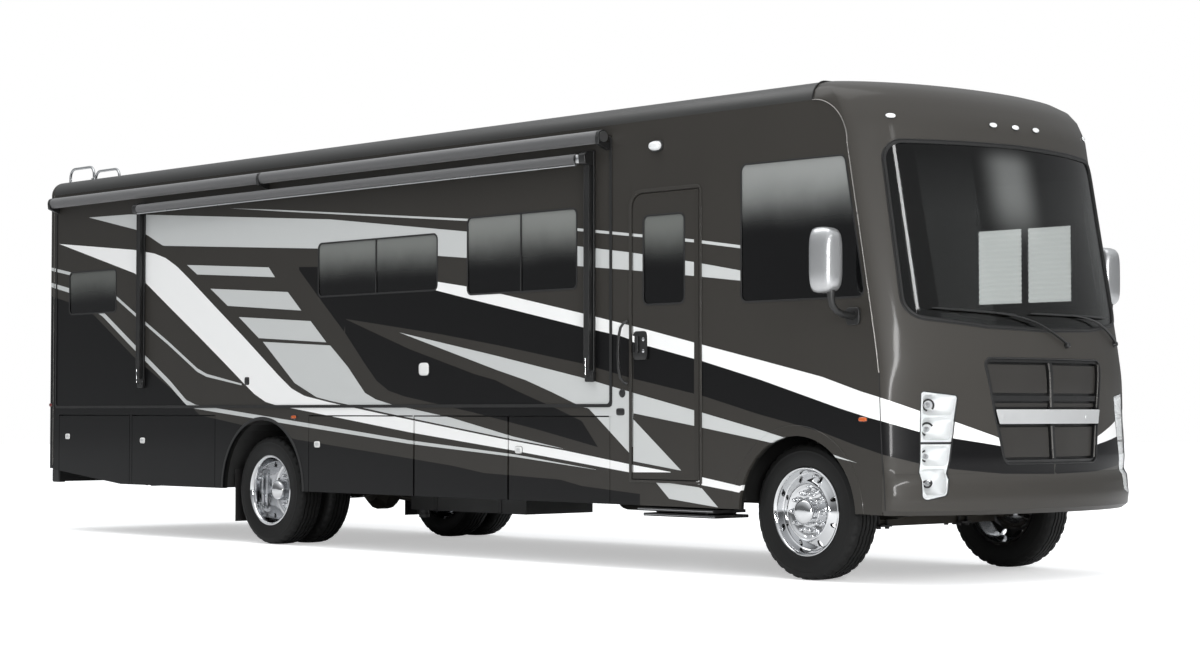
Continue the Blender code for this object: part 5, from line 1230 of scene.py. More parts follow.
# %% Bay door latches
LATCHES = [("bay_door_curb_1", -5.04, 0.895), ("bay_door_curb_2", -3.72, 0.868), ("bay_door_curb_3", -1.03,
    0.859), ("bay_door_curb_5", 1.534, 0.842), ("bay_door_street_1", -3.72, 0.868), ("bay_door_street_2",
    -1.03, 0.859)]
for node, x, z in LATCHES:
    side = 1 if "street" in node else -1
    fitting(node + "_latch", node, (x, side * 1.2827, z), (0, side, 0), 0.04, 0.026, 0.012, "white", 0.45,
        0.003)
    shaped(node + "_latch_paddle", "satin", dome, (x + 0.008, side * 1.2925, z), (0, side, 0), 0.022,
        0.014, 0.005, 0.45, body=node)
print(len(LATCHES), "latches")

# %% [markdown]
# ## Mirrors
# The shell is lofted through the CAD mirror's rows, with rounder sections, as a moulded cover has no flat
# side. Its back edge holds the glass, and a tapered tube makes the arm.

# %% Mirror shell, arm and glass
HEAD = [
    # X, share of the head's full size
    (4.775, 0.8), (4.777, 0.9), (4.785, 0.96), (4.805, 0.99), (4.83, 1.0), (4.86, 0.985), (4.885, 0.95),
    (4.908, 0.88), (4.926, 0.76), (4.937, 0.6), (4.943, 0.38), (4.945, 0.15),
]


def head_ring(x, share, side, steps=44):
    """One section of the mirror's head: a tall rounded rectangle."""
    wide, tall = 0.095 * share, 0.215 * (0.45 + 0.55 * share)
    ring = []
    for k in range(steps):
        turn = tau * (k + 0.5) / steps
        u, v = squared(turn, 0.55)
        ring.append((x, side * (1.505 + u * wide), 2.11 + v * tall))
    return ring


for side, word in SIDES:
    shell = shaped("mirror_shell_" + word, "shell", loft, [head_ring(x, share, side) for x, share in HEAD])
    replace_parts(shell, "mirror_" + word)
    shaped("mirror_rim_" + word, "trim", loft, [head_ring(x, share, side) for x, share in ((4.7705, 0.74),
        (4.7745, 0.78), (4.776, 0.8))])
    shaped("mirror_glass_" + word, "mirror", loft, [head_ring(x, share, side)
        for x, share in ((4.769, 0.66), (4.772, 0.68))])
    rod("mirror_arm_" + word, [(4.89, side * 1.288, 1.752), (4.889, side * 1.33, 1.752),
        (4.888, side * 1.4, 1.762), (4.887, side * 1.455, 1.785), (4.886, side * 1.485, 1.815),
        (4.886, side * 1.498, 1.86), (4.886, side * 1.5, 1.92)], [0.03, 0.026, 0.023, 0.022, 0.022, 0.024,
        0.028], "black", sides=20)
    shaped("mirror_foot_" + word, "black", prism, rectangle(4.832, 4.948, 1.693, 1.807, 0.026), "y",
        *sorted((side * 1.2829, side * 1.3005)), edge=0.004)
print("mirror head", round(2 * 0.095, 3), "m wide")

# %% [markdown]
# ## Wipers
# Each arm narrows from its pivot to the blade's clip. The blade is a spring strip with a rubber edge under
# it. Both follow points on the windscreen, so that they lie on its curve.

# %% Wiper arms and blades
WIPERS = [
    # node, pivot, clip and both ends of the blade: y, z
    ("wiper_curb", (0.2, 1.575), (-0.48, 1.772), (-0.96, 1.8), (-0.3, 1.766)),
    ("wiper_street", (0.967, 1.6), (0.3, 1.775), (-0.16, 1.778), (0.88, 1.776)),
]


def on_glass(start, end, share, proud, bow=0.0):
    """A point on the way from start to end over the glass, bowed upward by so much."""
    y, z = (a + (b - a) * share for a, b in zip(start, end))
    return cap_point(y, z + bow * sin(pi * share), proud)


for node, pivot, clip, blade_low, blade_high in WIPERS:
    rod(node + "_arm", [on_glass(pivot, clip, k / 12, 0.022 + 0.006 * sin(pi * k / 12), 0.045)
        for k in range(13)], [0.013 - 0.0005 * k for k in range(13)], "black", sides=10, flat=0.55)
    rod(node + "_blade", [on_glass(blade_low, blade_high, k / 16, 0.017) for k in range(17)],
        [0.003] + [0.0075] * 15 + [0.003], "trim", sides=8, flat=0.8)
    rod(node + "_rubber", [on_glass(blade_low, blade_high, k / 16, 0.008) for k in range(17)], 0.003,
        "seal", sides=6, flat=0.6)
    hub = bmesh.new()
    spot = cap_point(*pivot)
    dome(hub, spot, cap_point(*pivot, 0.1) - spot, 0.021, 0.021, 0.034)
    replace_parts(piece(node + "_pivot", hub, "black"), node)
print(len(WIPERS), "wipers")

# %% [markdown]
# ## Slide-out room and its awnings
# The room's flange hides the gap in the wall. The cover over it is a roll of cloth on a tube, and the
# patio awning is another roll between the heads of two folded arms. Each roll is one sheet wound in a
# spiral, as a real one is, so that its layers show at the ends.

# %% Flange, cover roll and brackets
WALL_Y = -1.2828                     # just off the curb wall
SLIDE = (-5.27, 2.555, 1.175, 3.12)
shaped("slide_flange_seal", "seal", frame_ring, rectangle(SLIDE[0] - 0.006, SLIDE[1] + 0.014,
    SLIDE[2] - 0.014, SLIDE[3], 0.035), rectangle(SLIDE[0] + 0.01, SLIDE[1] - 0.012, SLIDE[2] + 0.01,
    SLIDE[3] - 0.012, 0.03), "y", WALL_Y - 0.007, WALL_Y, body="slide_room", edge=0.0015)


def cloth_roll(name, body, x_low, x_high, y, z, core, radius, wraps):
    """A sheet wound in a spiral from its core out to radius, its loose end underneath."""
    steps, count = 28 * wraps, 26
    spiral, length = [], 0.0
    for i in range(steps + 1):
        angle, reach = tau * i / 28 - pi / 2, core + (radius - core) * i / steps
        spiral.append((reach, cos(angle), sin(angle)))
        length += tau * reach / 28 if i else 0.0
    work = bmesh.new()
    rows = []
    for k in range(count + 1):
        x = x_low + (x_high - x_low) * k / count
        swell = 1 + 0.01 * sin(2.3 * x) + 0.006 * sin(7.1 * x)
        rows.append([work.verts.new((x, y + reach * (1 + (swell - 1) * i / steps) * c,
            z + reach * (1 + (swell - 1) * i / steps) * s)) for i, (reach, c, s) in enumerate(spiral)])
    for near, far in zip(rows, rows[1:]):
        for i in range(steps):
            work.faces.new((near[i], near[i + 1], far[i + 1], far[i]))
    roll = piece(name, work, "fabric", body, smooth=60)
    print(name, "cut to", round(x_high - x_low, 2), "by", round(length, 2), "m")
    return roll


COVER_Y, COVER_Z = -1.3448, 3.115
rod("slide_cover_tube", [(-5.262, COVER_Y, COVER_Z), (2.547, COVER_Y, COVER_Z)], 0.04, "aluminium",
    "slide_room", 24)
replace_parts(bpy.data.objects["slide_cover_tube"], "slide_topper")
cloth_roll("slide_cover", "slide_room", -5.245, 2.52, COVER_Y, COVER_Z, 0.0425, 0.048, 6)
for word, x in (("rear", -5.253), ("front", 2.533)):
    shaped("slide_cover_cap_" + word, "trim", lathe, [(0.004, -0.007), (0.0485, -0.007), (0.0495, -0.006),
        (0.0495, 0.006), (0.0485, 0.007), (0.004, 0.007)], (x, COVER_Y, COVER_Z), "x", 40,
        body="slide_room")
for k, x in enumerate((-5.24, -1.76, 2.525)):
    shaped(f"slide_cover_bracket_{k + 1}", "black", prism,
        rounded([(WALL_Y, 3.02, 0.0), (WALL_Y - 0.012, 3.02, 0.004), (COVER_Y - 0.046, 3.058, 0.01),
        (COVER_Y - 0.052, 3.11, 0.01), (COVER_Y - 0.04, 3.15, 0.012), (COVER_Y - 0.01, 3.1645, 0.004),
        (COVER_Y - 0.008, 3.158, 0.002), (COVER_Y - 0.034, 3.14, 0.01), (COVER_Y - 0.044, 3.105, 0.01),
        (COVER_Y - 0.032, 3.066, 0.006), (WALL_Y, 3.075, 0.0)]), "x", x - 0.018, x + 0.018,
        body="slide_room", edge=0.002)
print("slide cover", round(2.52 + 5.245, 3), "m wide")

# %% [markdown]
# The patio awning is rolled up: cloth on its tube, a rail along the cloth's loose edge, and two arms folded
# flat against the wall. The arms are channels with a raised lip on both sides, as folded sheet metal has.

# %% Patio awning
ROLL_Y, ROLL_Z = -1.3548, 2.968
rod("awning_roll_tube", [(-3.73, ROLL_Y, ROLL_Z), (2.35, ROLL_Y, ROLL_Z)], 0.026, "aluminium",
    "slide_room", 20)
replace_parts(bpy.data.objects["awning_roll_tube"], "awning")
cloth_roll("awning_roll", "slide_room", -3.69, 2.27, ROLL_Y, ROLL_Z, 0.028, 0.041, 12)
shaped("awning_lead_rail", "aluminium", tube, [(-3.69, ROLL_Y - 0.016, ROLL_Z - 0.043),
    (2.27, ROLL_Y - 0.016, ROLL_Z - 0.043)], 0.009, 12, 0.7, body="slide_room")
for word, x, way in (("rear", -3.73, -1), ("front", 2.35, 1)):
    shaped("awning_channel_" + word, "black", prism, rectangle(x - 0.042, x + 0.042, 1.37, 3.03, 0.012),
        "y", WALL_Y - 0.021, WALL_Y - 0.001, body="slide_room", edge=0.003)
    work = bmesh.new()
    prism(work, rectangle(x - 0.028, x + 0.028, 1.43, 2.985, 0.01), "y", WALL_Y - 0.054, WALL_Y - 0.022)
    prism(work, rectangle(x - 0.03, x - 0.022, 1.44, 2.95, 0.002), "y", WALL_Y - 0.057, WALL_Y - 0.03)
    prism(work, rectangle(x + 0.022, x + 0.03, 1.44, 2.95, 0.002), "y", WALL_Y - 0.057, WALL_Y - 0.03)
    piece("awning_arm_" + word, work, "black", "slide_room", edge=0.002)
    shaped("awning_head_" + word, "black", prism, rounded([(WALL_Y - 0.012, 2.918, 0.008),
        (WALL_Y - 0.1, 2.93, 0.02), (WALL_Y - 0.108, 3.0, 0.024), (WALL_Y - 0.07, 3.02, 0.014),
        (WALL_Y - 0.012, 3.018, 0.006)]), "x", x - 0.034, x + 0.034, body="slide_room", edge=0.005)
    shaped("awning_drive_" + word, "satin", prism, rectangle(WALL_Y - 0.096, WALL_Y - 0.048, 2.938, 3.0,
        0.01), "x", *sorted((x - way * 0.036, x - way * 0.075)), body="slide_room", edge=0.004)
    shaped("awning_pin_" + word, "chrome", tube, [(x - 0.006, WALL_Y - 0.06, 1.395),
        (x - 0.006, WALL_Y - 0.06, 1.52)], 0.006, 12, body="slide_room")
    work = bmesh.new()
    prism(work, rectangle(x - 0.046, x + 0.046, 1.345, 1.425, 0.014), "y", WALL_Y - 0.03, WALL_Y - 0.001)
    for dx in (-0.026, 0.026):
        lathe(work, [(0.001, 0.0), (0.008, 0.0), (0.008, -0.004), (0.005, -0.006), (0.001, -0.006)],
            (x + dx, WALL_Y - 0.031, 1.385), "y", 12)
    piece("awning_foot_" + word, work, "black", "slide_room", edge=0.003)
print("awning roll", round(2.27 + 3.69, 2), "m wide")

# %% [markdown]
# ## Window frames and the entry door
# Windows sit in slim black clamp rings, and the sliding ones have a bar where the panes meet. The doorway
# has a painted flange with a rounded head. A ring between two outlines makes each frame, so no hole has to
# be cut.

# %% Rings round the windows
WINDOWS = [
    # name, body, side, low x, high x, low z, high z, bars at x
    ("slide_rear", "slide_room", -1, -5.03, -4.195, 2.05, 2.445, ()),
    ("slide_middle", "slide_room", -1, -1.025, 0.55, 2.08, 2.52, (-0.24,)),
    ("slide_front", "slide_room", -1, 0.923, 2.185, 2.03, 2.62, (1.555,)),
    ("entry_door", "entry_door", -1, 2.895, 3.312, 1.888, 2.52, ()),
    ("street_rear", "coach", 1, -4.7, -3.86, 2.05, 2.445, ()),
    ("street_middle", "coach", 1, -0.5, 1.075, 2.08, 2.52, (0.285,)),
]
for name, body, side, low_x, high_x, low_z, high_z, bars in WINDOWS:
    near, far = sorted((side * 1.279, side * 1.2852))
    work = bmesh.new()
    frame_ring(work, rectangle(low_x - 0.007, high_x + 0.007, low_z - 0.007, high_z + 0.007, 0.052),
        rectangle(low_x + 0.006, high_x - 0.006, low_z + 0.006, high_z - 0.006, 0.04), "y", near, far)
    for x in bars:
        prism(work, rectangle(x - 0.006, x + 0.006, low_z + 0.003, high_z - 0.003), "y", near, far)
    piece("window_ring_" + name, work, "trim", body, edge=0.001)
CAB_RING = [(3.865, 1.875, 0.05), (4.985, 1.875, 0.05), (4.815, 2.812, 0.05), (3.865, 2.815, 0.05)]
for side, word in SIDES:
    inner = rounded(CAB_RING)
    shaped("window_ring_cab_" + word, "trim", frame_ring, grown(inner, 0.006), grown(inner, -0.006), "y",
        *sorted((side * 1.279, side * 1.2848)), edge=0.001)
print(len(WINDOWS) + 2, "window rings")

# %% Entry door
work = bmesh.new()
outer = rounded([(2.75, 0.628, 0.01), (3.486, 0.628, 0.01), (3.486, 2.712, 0.052), (2.75, 2.712, 0.125)], 8)
inner = rounded([(2.774, 0.643, 0.01), (3.466, 0.643, 0.01), (3.466, 2.69, 0.014), (2.774, 2.69, 0.103)], 8)
frame_ring(work, outer, inner, "y", WALL_Y - 0.006, WALL_Y)
piece("doorway_flange", work, "charcoal", edge=0.002)
rod("door_hinge", [(3.474, WALL_Y - 0.006, 0.72), (3.474, WALL_Y - 0.006, 2.56)], 0.005, "charcoal")
shaped("door_lock_bezel", "black", dome, (2.875, WALL_Y - 0.0117, 1.6), (0, -1, 0), 0.072, 0.102, 0.008,
    0.35, 36, body="entry_door")
shaped("door_lock_paddle", "trim", prism, rectangle(2.822, 2.868, 1.545, 1.668, 0.012), "y",
    WALL_Y - 0.034, WALL_Y - 0.018, body="entry_door", edge=0.004)
work = bmesh.new()
for z in (1.56, 1.642):
    lathe(work, [(0.001, 0.0), (0.013, 0.0), (0.013, -0.004), (0.01, -0.006), (0.003, -0.006),
        (0.003, -0.004), (0.001, -0.004)], (2.915, WALL_Y - 0.0192, z), "y", 24)
piece("door_lock_keys", work, "chrome", "entry_door")
handle = [(2.728, -1.284, 1.772), (2.716, -1.305, 1.765), (2.704, -1.328, 1.73), (2.697, -1.34, 1.66),
    (2.695, -1.343, 1.55), (2.697, -1.34, 1.44), (2.704, -1.328, 1.37), (2.716, -1.305, 1.338),
    (2.728, -1.284, 1.33)]
rod("grab_handle", handle, [0.016, 0.012, 0.012, 0.013, 0.014, 0.013, 0.012, 0.012, 0.016], "black",
    sides=16, flat=0.8)
print("doorway", round(3.461 - 2.776, 3), "m wide")

# %% [markdown]
# ## Arches, step and skirt
# A flat lip is riveted round each wheel opening. The step's treads carry ribbed strips and a bright nosing.

# %% Arch lips
ARCHES = [("front", 4.37, 0.44, 0.53, 0.066, 0.466, 0.466), ("rear", -1.83, 0.47, 0.59, 0.022, 0.466, 0.466)]
for name, x, z, radius, wide, low_rear, low_front in ARCHES:
    first = asin((low_front - z) / radius)
    last = pi - asin((low_rear - z) / radius)
    for side, word in SIDES:
        work = bmesh.new()
        rings = []
        for k in range(57):
            turn = first + (last - first) * k / 56
            c, s = cos(turn), sin(turn)
            level = (side * 1.2829, side * 1.2875, side * 1.287, side * 1.2829)
            reach = (radius - 0.001, radius - 0.001, radius + wide, radius + wide + 0.004)
            rings.append([(x + r * c, y, z + r * s) for r, y in zip(reach, level)])
        loft(work, rings)
        made = PAINT["wall"] if name == "front" else "trim"
        piece(f"arch_lip_{name}_{word}", work, made, edge=0.0012)
print("front lip", ARCHES[0][4] * 1000, "mm wide")

# %% [markdown]
# The step's tread has fine rubber ribs against slipping and an aluminium nosing along each edge. Thin tubes
# are enough for both, as little more than their highlights shows.

# %% Step treads
work = bmesh.new()
for k in range(13):
    y = -1.262 + (1.262 - 0.965) * k / 12
    tube(work, [(2.84, y, 0.4502), (3.56, y, 0.4502)], 0.004, 6, 0.6)
piece("step_grip", work, "seal", "entry_step")
rod("step_nosing_upper", [(2.822, -1.2695, 0.4395), (3.578, -1.2695, 0.4395)], 0.0035, "aluminium",
    "entry_step")
rod("step_nosing_lower", [(2.842, -1.23, 0.401), (3.558, -1.23, 0.401)], 0.0035, "aluminium", "entry_step")
print("step", round(3.578 - 2.822, 3), "m wide")

# %% [markdown]
# ## Rear end
# Nothing of the rear is in the photograph, so it has what such a coach carries: lamp clusters, a row of
# marker lamps, a camera, a bare number plate, a bumper with rubber pads and a tow receiver, and a roof
# ladder. The roof and the rear cap are skinned through one rounded section, so that their edge runs through.

# %% Roof skin and rear cap, rounded
def coach_section(inset, low):
    """The body's outline across the vehicle from a lower edge to the roof, inset by so much."""
    radius = EAVE_RADIUS - inset
    side = [(HALF_WIDTH - inset, low)]
    side += [(EAVE_Y + radius * cos(t), EAVE_Z + radius * sin(t)) for t in turns(16, pi / 2)]
    for k in range(1, 13):
        y = EAVE_Y - (EAVE_Y - 0.3) * k / 12
        side.append((y, 3.33 - inset + 0.025 * (1 - (1 - k / 12) ** 1.25)))
    return side + [(-y, z) for y, z in reversed(side)]


outer, inner = coach_section(0.0, 3.2002), coach_section(0.045, 3.2002)
shell = outer + list(reversed(inner))
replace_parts(shaped("roof_skin", "roof", loft, [[(x, y, z) for y, z in shell] for x in (-5.3195,
    -3.0, -0.5, 2.0, 4.5295)]), "roof")
rings = []
for k in range(11):
    turn = pi / 2 * k / 10
    back, inset = 0.05 * (1 - cos(turn)), 0.05 * (1 - sin(turn))
    rings.append([(-5.41 + back, y, z) for y, z in coach_section(inset, 0.589 + inset)])
rings += [[(x, y, z) for y, z in coach_section(inset, 0.589 + inset)] for x, inset in ((-5.32, 0.0),
    (-5.32, 0.045), (-5.365, 0.045))]
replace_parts(shaped("rear_skin", PAINT["tail"], loft, rings), "rear_cap")
print("roof skin of", len(shell), "points")

# %% [markdown]
# A tail lamp is three cushion-shaped lenses in one chromed bezel. Low ribs across each lens catch the light
# as moulded prisms do.

# %% Rear lamps, plate and camera
BACK = -5.4103
for side, word in SIDES:
    near, far = sorted((side * 1.06, side * 1.17))
    work = bmesh.new()
    frame_ring(work, rectangle(near - 0.009, far + 0.009, 0.941, 1.429, 0.036), rectangle(near, far, 0.95,
        1.42, 0.03), "x", BACK - 0.026, BACK)
    for z in (1.105, 1.265):
        prism(work, rectangle(near, far, z - 0.005, z + 0.005), "x", BACK - 0.024, BACK - 0.016)
    piece("tail_lamp_bezel_" + word, work, "chrome", edge=0.002)
    for lens, low, high in (("clear", 0.953, 1.099), ("amber", 1.111, 1.259), ("red", 1.271, 1.417)):
        work = bmesh.new()
        dome(work, (BACK - 0.0165, (near + far) / 2, (low + high) / 2), (-1, 0, 0),
            (far - near) / 2 - 0.003, (high - low) / 2 - 0.001, 0.011, 0.35, 40)
        for k in range(9):
            z = low + (high - low) * (k + 0.8) / 9.6
            tube(work, [(BACK - 0.0265, near + 0.016, z), (BACK - 0.0265, far - 0.016, z)], 0.0028, 6)
        piece(f"tail_lamp_{lens}_{word}", work, lens)
for k, y in enumerate((-1.02, -0.23, 0.0, 0.23, 1.02)):
    fitting(f"rear_marker_{k + 1}", "coach", (BACK, y, 3.165), (-1, 0, 0), 0.036, 0.015, 0.014, "red")
fitting("rear_stop_lamp", "coach", (BACK, 0.0, 3.05), (-1, 0, 0), 0.15, 0.017, 0.014, "red", 0.4)
shaped("rear_camera", "black", prism, rounded([(BACK, -0.05, 0.0), (BACK, 0.05, 0.0), (BACK - 0.056, 0.044,
    0.014), (BACK - 0.056, -0.044, 0.014)]), "z", 2.915, 2.972, edge=0.004)
fitting("rear_camera_eye", "coach", (BACK - 0.0565, 0.0, 2.94), (-1, 0, -0.3), 0.014, 0.014, 0.008,
    "panel", 1.0)
shaped("plate_frame", "trim", frame_ring, rectangle(-0.185, 0.185, 0.748, 0.952, 0.03), rectangle(-0.163,
    0.163, 0.768, 0.932, 0.018), "x", BACK - 0.01, BACK, edge=0.003)
work = bmesh.new()
prism(work, rectangle(-0.1525, 0.1525, 0.774, 0.926, 0.012), "x", BACK - 0.004, BACK - 0.0015)
for y in (-0.09, 0.09):
    for z in (0.789, 0.911):
        lathe(work, [(0.001, -0.002), (0.006, -0.002), (0.005, 0.001), (0.001, 0.001)], (BACK - 0.004, y,
            z), "x", 12)
piece("number_plate_blank", work, "white", edge=0.0006)
for side, word in SIDES:
    fitting("plate_lamp_" + word, "coach", (BACK - 0.006, side * 0.11, 0.966), (-1, 0, -0.6), 0.026, 0.009,
        0.014, "clear", 0.6)
work = bmesh.new()
for low_y, high_y, low_z, high_z in ((-0.86, -0.26, 0.7, 1.16), (0.26, 0.86, 0.7, 1.16)):
    frame_ring(work, rectangle(low_y, high_y, low_z, high_z, 0.05), rectangle(low_y + 0.006,
        high_y - 0.006, low_z + 0.006, high_z - 0.006, 0.045), "x", BACK - 0.0016, BACK)
piece("rear_hatch_gaps", work, "seal")
for side, word in SIDES:
    fitting("rear_hatch_latch_" + word, "coach", (BACK, side * 0.56, 0.75), (-1, 0, 0), 0.04, 0.026, 0.012,
        "white", 0.45, 0.003)
print("rear lamps at", BACK)

# %% Rear cap edge, bumper and receiver
work = bmesh.new()
for side in (-1, 1):
    tube(work, [(-5.3175, side * 1.2826, 0.62), (-5.3175, side * 1.2826, 3.2)], 0.005, 8, 0.6)
piece("rear_joint_moulding", work, "moulding")
work = bmesh.new()
for side in (-1, 1):
    prism(work, rounded([(-5.5455, 0.452, 0.02), (-5.42, 0.452, 0.0), (-5.42, 0.593, 0.0),
        (-5.5455, 0.593, 0.034)]), "y", *sorted((side * 1.085, side * 1.158)))
piece("bumper_end_caps", work, "trim", edge=0.008)
work = bmesh.new()
for y in (-0.62, 0.62):
    prism(work, rectangle(y - 0.16, y + 0.16, 0.488, 0.558, 0.016), "x", -5.548, -5.5395)
for k in range(4):
    z = 0.5 + 0.0155 * k
    for y in (-0.62, 0.62):
        tube(work, [(-5.548, y - 0.145, z), (-5.548, y + 0.145, z)], 0.0035, 6)
piece("bumper_pads", work, "seal", edge=0.002)
work = bmesh.new()
tube(work, [(-5.5, -0.07, 0.435), (-5.5, 0.07, 0.435)], 0.008, 16)
tube(work, [(-5.5, 0.07, 0.435), (-5.508, 0.084, 0.425), (-5.5, 0.098, 0.415)], 0.004, 8)
for side in (-1, 1):
    points = [(-5.535, side * (0.1 + 0.028 * cos(t)), 0.432 + 0.03 * sin(t)) for t in turns(20) + [tau]]
    tube(work, points, 0.0065, 8)
piece("receiver_pin", work, "steel")
fitting("trailer_socket", "coach", (-5.54, 0.23, 0.525), (-1, 0, 0), 0.032, 0.032, 0.016, "trim", 0.8)
print("receiver 50 mm square")

# %% Ladder
LADDER_X = -5.546                   # the rails' plane behind the rear wall
work = bmesh.new()
for y in (-0.98, -0.7):
    route = [(LADDER_X, y, z) for z in (1.045, 1.6, 2.2, 2.8, 3.36)]
    route += [(LADDER_X + 0.085 * (1 - cos(t)), y, 3.4 + 0.085 * sin(t)) for t in turns(8, pi / 2)]
    route += [(x, y, 3.485) for x in (-5.4, -5.3)]
    route += [(-5.185 + 0.075 * sin(t), y, 3.41 + 0.075 * cos(t)) for t in turns(8, pi / 2)]
    route += [(-5.11, y, 3.372)]
    tube(work, route, 0.0125, 18)
    for z in (1.2, 2.1, 3.0):
        tube(work, [(LADDER_X, y, z), (BACK - 0.004, y, z)], 0.0095, 14)
        lathe(work, [(0.001, 0.0), (0.024, 0.0), (0.024, -0.004), (0.012, -0.007), (0.001, -0.007)],
            (BACK - 0.0002, y, z), "x", 20)
    lathe(work, [(0.001, 0.0), (0.028, 0.0), (0.028, 0.006), (0.014, 0.012), (0.001, 0.012)],
        (-5.11, y, 3.3625), "z", 20)
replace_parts(piece("ladder_rails", work, "aluminium"), "ladder")
work = bmesh.new()
for k in range(8):
    z = 1.15 + 0.29 * k
    tube(work, [(LADDER_X, -0.98, z), (LADDER_X, -0.7, z)], 0.0115, 16)
    for i in range(9):
        y = -0.96 + 0.03 * i
        lathe(work, [(0.011, -0.0035), (0.0124, -0.0015), (0.0124, 0.0015), (0.011, 0.0035)],
            (LADDER_X, y, z), "y", 16)
piece("ladder_rungs", work, "aluminium")
print("8 rungs")

# %% [markdown]
# ## Roof
# The air conditioners get smooth shrouds with louvres. Between them are lids, a solar panel and an aerial,
# all low enough to stay hidden from the photograph's viewpoint. A squared-off oval that shrinks as it rises
# gives each shroud its soft shoulders.

# %% Air conditioners
AC_BASE = 3.3553                     # where the shrouds stand on the roof
SHROUD = [(0.0, 1.0, 1.0), (0.012, 1.0, 1.0), (0.045, 0.985, 0.97), (0.08, 0.945, 0.9),
    (0.11, 0.885, 0.79), (0.132, 0.81, 0.64), (0.147, 0.7, 0.45), (0.1535, 0.56, 0.27), (0.155, 0.4, 0.12)]
for word, x in (("front", 1.9), ("rear", -3.2)):
    rings = []
    for rise, share_x, share_y in SHROUD:
        ring = []
        for k in range(72):
            turn = tau * k / 72
            u, v = squared(turn, 0.32)
            dip = 0.01 * max(0.0, 1 - (abs(v) / 0.35) ** 2) * (1 if 0.03 < rise < 0.14 else 0)
            ring.append((x + 0.48 * share_x * u, 0.29 * share_y * v, AC_BASE + rise - dip))
        rings.append(ring)
    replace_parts(shaped("ac_shroud_" + word, "trim", loft, rings, smooth=50),
        "air_conditioner_" + word)
    work = bmesh.new()
    for side in (-1, 1):
        for k in range(9):
            z = AC_BASE + 0.022 + 0.0085 * k
            bulge = 0.2935 - 0.0008 * k * k
            tube(work, [(x - 0.3, side * bulge, z), (x + 0.3, side * bulge, z)], 0.0032, 6)
    for k in range(6):
        z = AC_BASE + 0.022 + 0.0095 * k
        tube(work, [(x - 0.4835 + 0.0008 * k * k, -0.18, z), (x - 0.4835 + 0.0008 * k * k, 0.18, z)],
            0.0032, 6)
    piece("ac_louvres_" + word, work, "seal")
    shaped("ac_gasket_" + word, "seal", frame_ring, rectangle(x - 0.496, x + 0.496, -0.306, 0.306, 0.06),
        rectangle(x - 0.47, x + 0.47, -0.28, 0.28, 0.05), "z", 3.354, 3.36, edge=0.002)
print("air conditioners 0.96 by 0.58 m")


# %% Lids, panel and aerial
def roof_z(y):
    """Height of the roof's crown at a distance from the middle."""
    return 3.3552 - 0.025 * max(0.0, abs(y) - 0.3) / 0.85


def roof_lid(name, x, y, half, rise, made):
    level = roof_z(y)
    rings = []
    for lift, share in ((-0.01, 1.06), (0.014, 1.06), (0.016, 1.0), (rise * 0.7, 0.98), (rise * 0.93, 0.9),
            (rise, 0.7)):
        rings.append([(x + half * share * a, y + half * share * b, level + lift) for a, b in rectangle(-1,
            1, -1, 1, 0.22)])
    return shaped(name, made, loft, rings, smooth=30)


roof_lid("roof_vent_front", 3.6, 0.2, 0.19, 0.07, "trim")
roof_lid("roof_vent_bath", -1.15, 0.1, 0.19, 0.07, "trim")
roof_lid("roof_hatch_rear", -4.55, 0.0, 0.22, 0.06, "trim")
roof_lid("refrigerator_vent", 0.55, 0.72, 0.17, 0.055, "trim")
for k, (x, y) in enumerate(((-2.1, 0.7), (-1.9, 0.42), (-4.0, 0.66), (2.75, 0.55))):
    level = roof_z(y)
    shaped(f"plumbing_vent_{k + 1}", "trim", lathe, [(0.001, -0.006), (0.062, -0.006), (0.06, 0.006),
        (0.038, 0.016), (0.036, 0.05), (0.05, 0.054), (0.048, 0.066), (0.001, 0.072)], (x, y, level), "z",
        28)
shaped("solar_panel", "pane", prism, rectangle(-0.7, 0.3, -0.52, 0.06, 0.01), "z", 3.37, 3.39, edge=0.001)
work = bmesh.new()
frame_ring(work, rectangle(-0.725, 0.325, -0.545, 0.085, 0.006), rectangle(-0.69, 0.29, -0.51, 0.05,
    0.006), "z", 3.356, 3.3935)
for k in range(1, 10):
    tube(work, [(-0.7 + 0.1 * k, -0.515, 3.3902), (-0.7 + 0.1 * k, 0.055, 3.3902)], 0.0012, 4, 0.5)
for k in range(1, 4):
    tube(work, [(-0.695, -0.52 + 0.145 * k, 3.3902), (0.295, -0.52 + 0.145 * k, 3.3902)], 0.0012, 4, 0.5)
piece("solar_frame", work, "aluminium", edge=0.001)
shaped("aerial_dome", "trim", lathe, [(0.001, -0.01), (0.19, -0.01), (0.196, 0.006), (0.186, 0.04),
    (0.15, 0.082), (0.09, 0.108), (0.001, 0.116)], (2.95, -0.1, 3.3552), "z", 56)
work = bmesh.new()
for x in (-5.3, 4.5):
    tube(work, [(x, y, roof_z(y) + 0.001) for y in (-1.1, -0.8, -0.5, -0.2, 0.2, 0.5, 0.8, 1.1)], 0.01, 8,
        0.4)
for side in (-1, 1):
    tube(work, [(x, side * 1.12, roof_z(1.12) + 0.001) for x in (-5.3, -3.0, 0.0, 3.0, 4.5)], 0.007, 8, 0.4)
piece("roof_sealant", work, "seal")
print("roof crown at", round(roof_z(0), 3), "m")
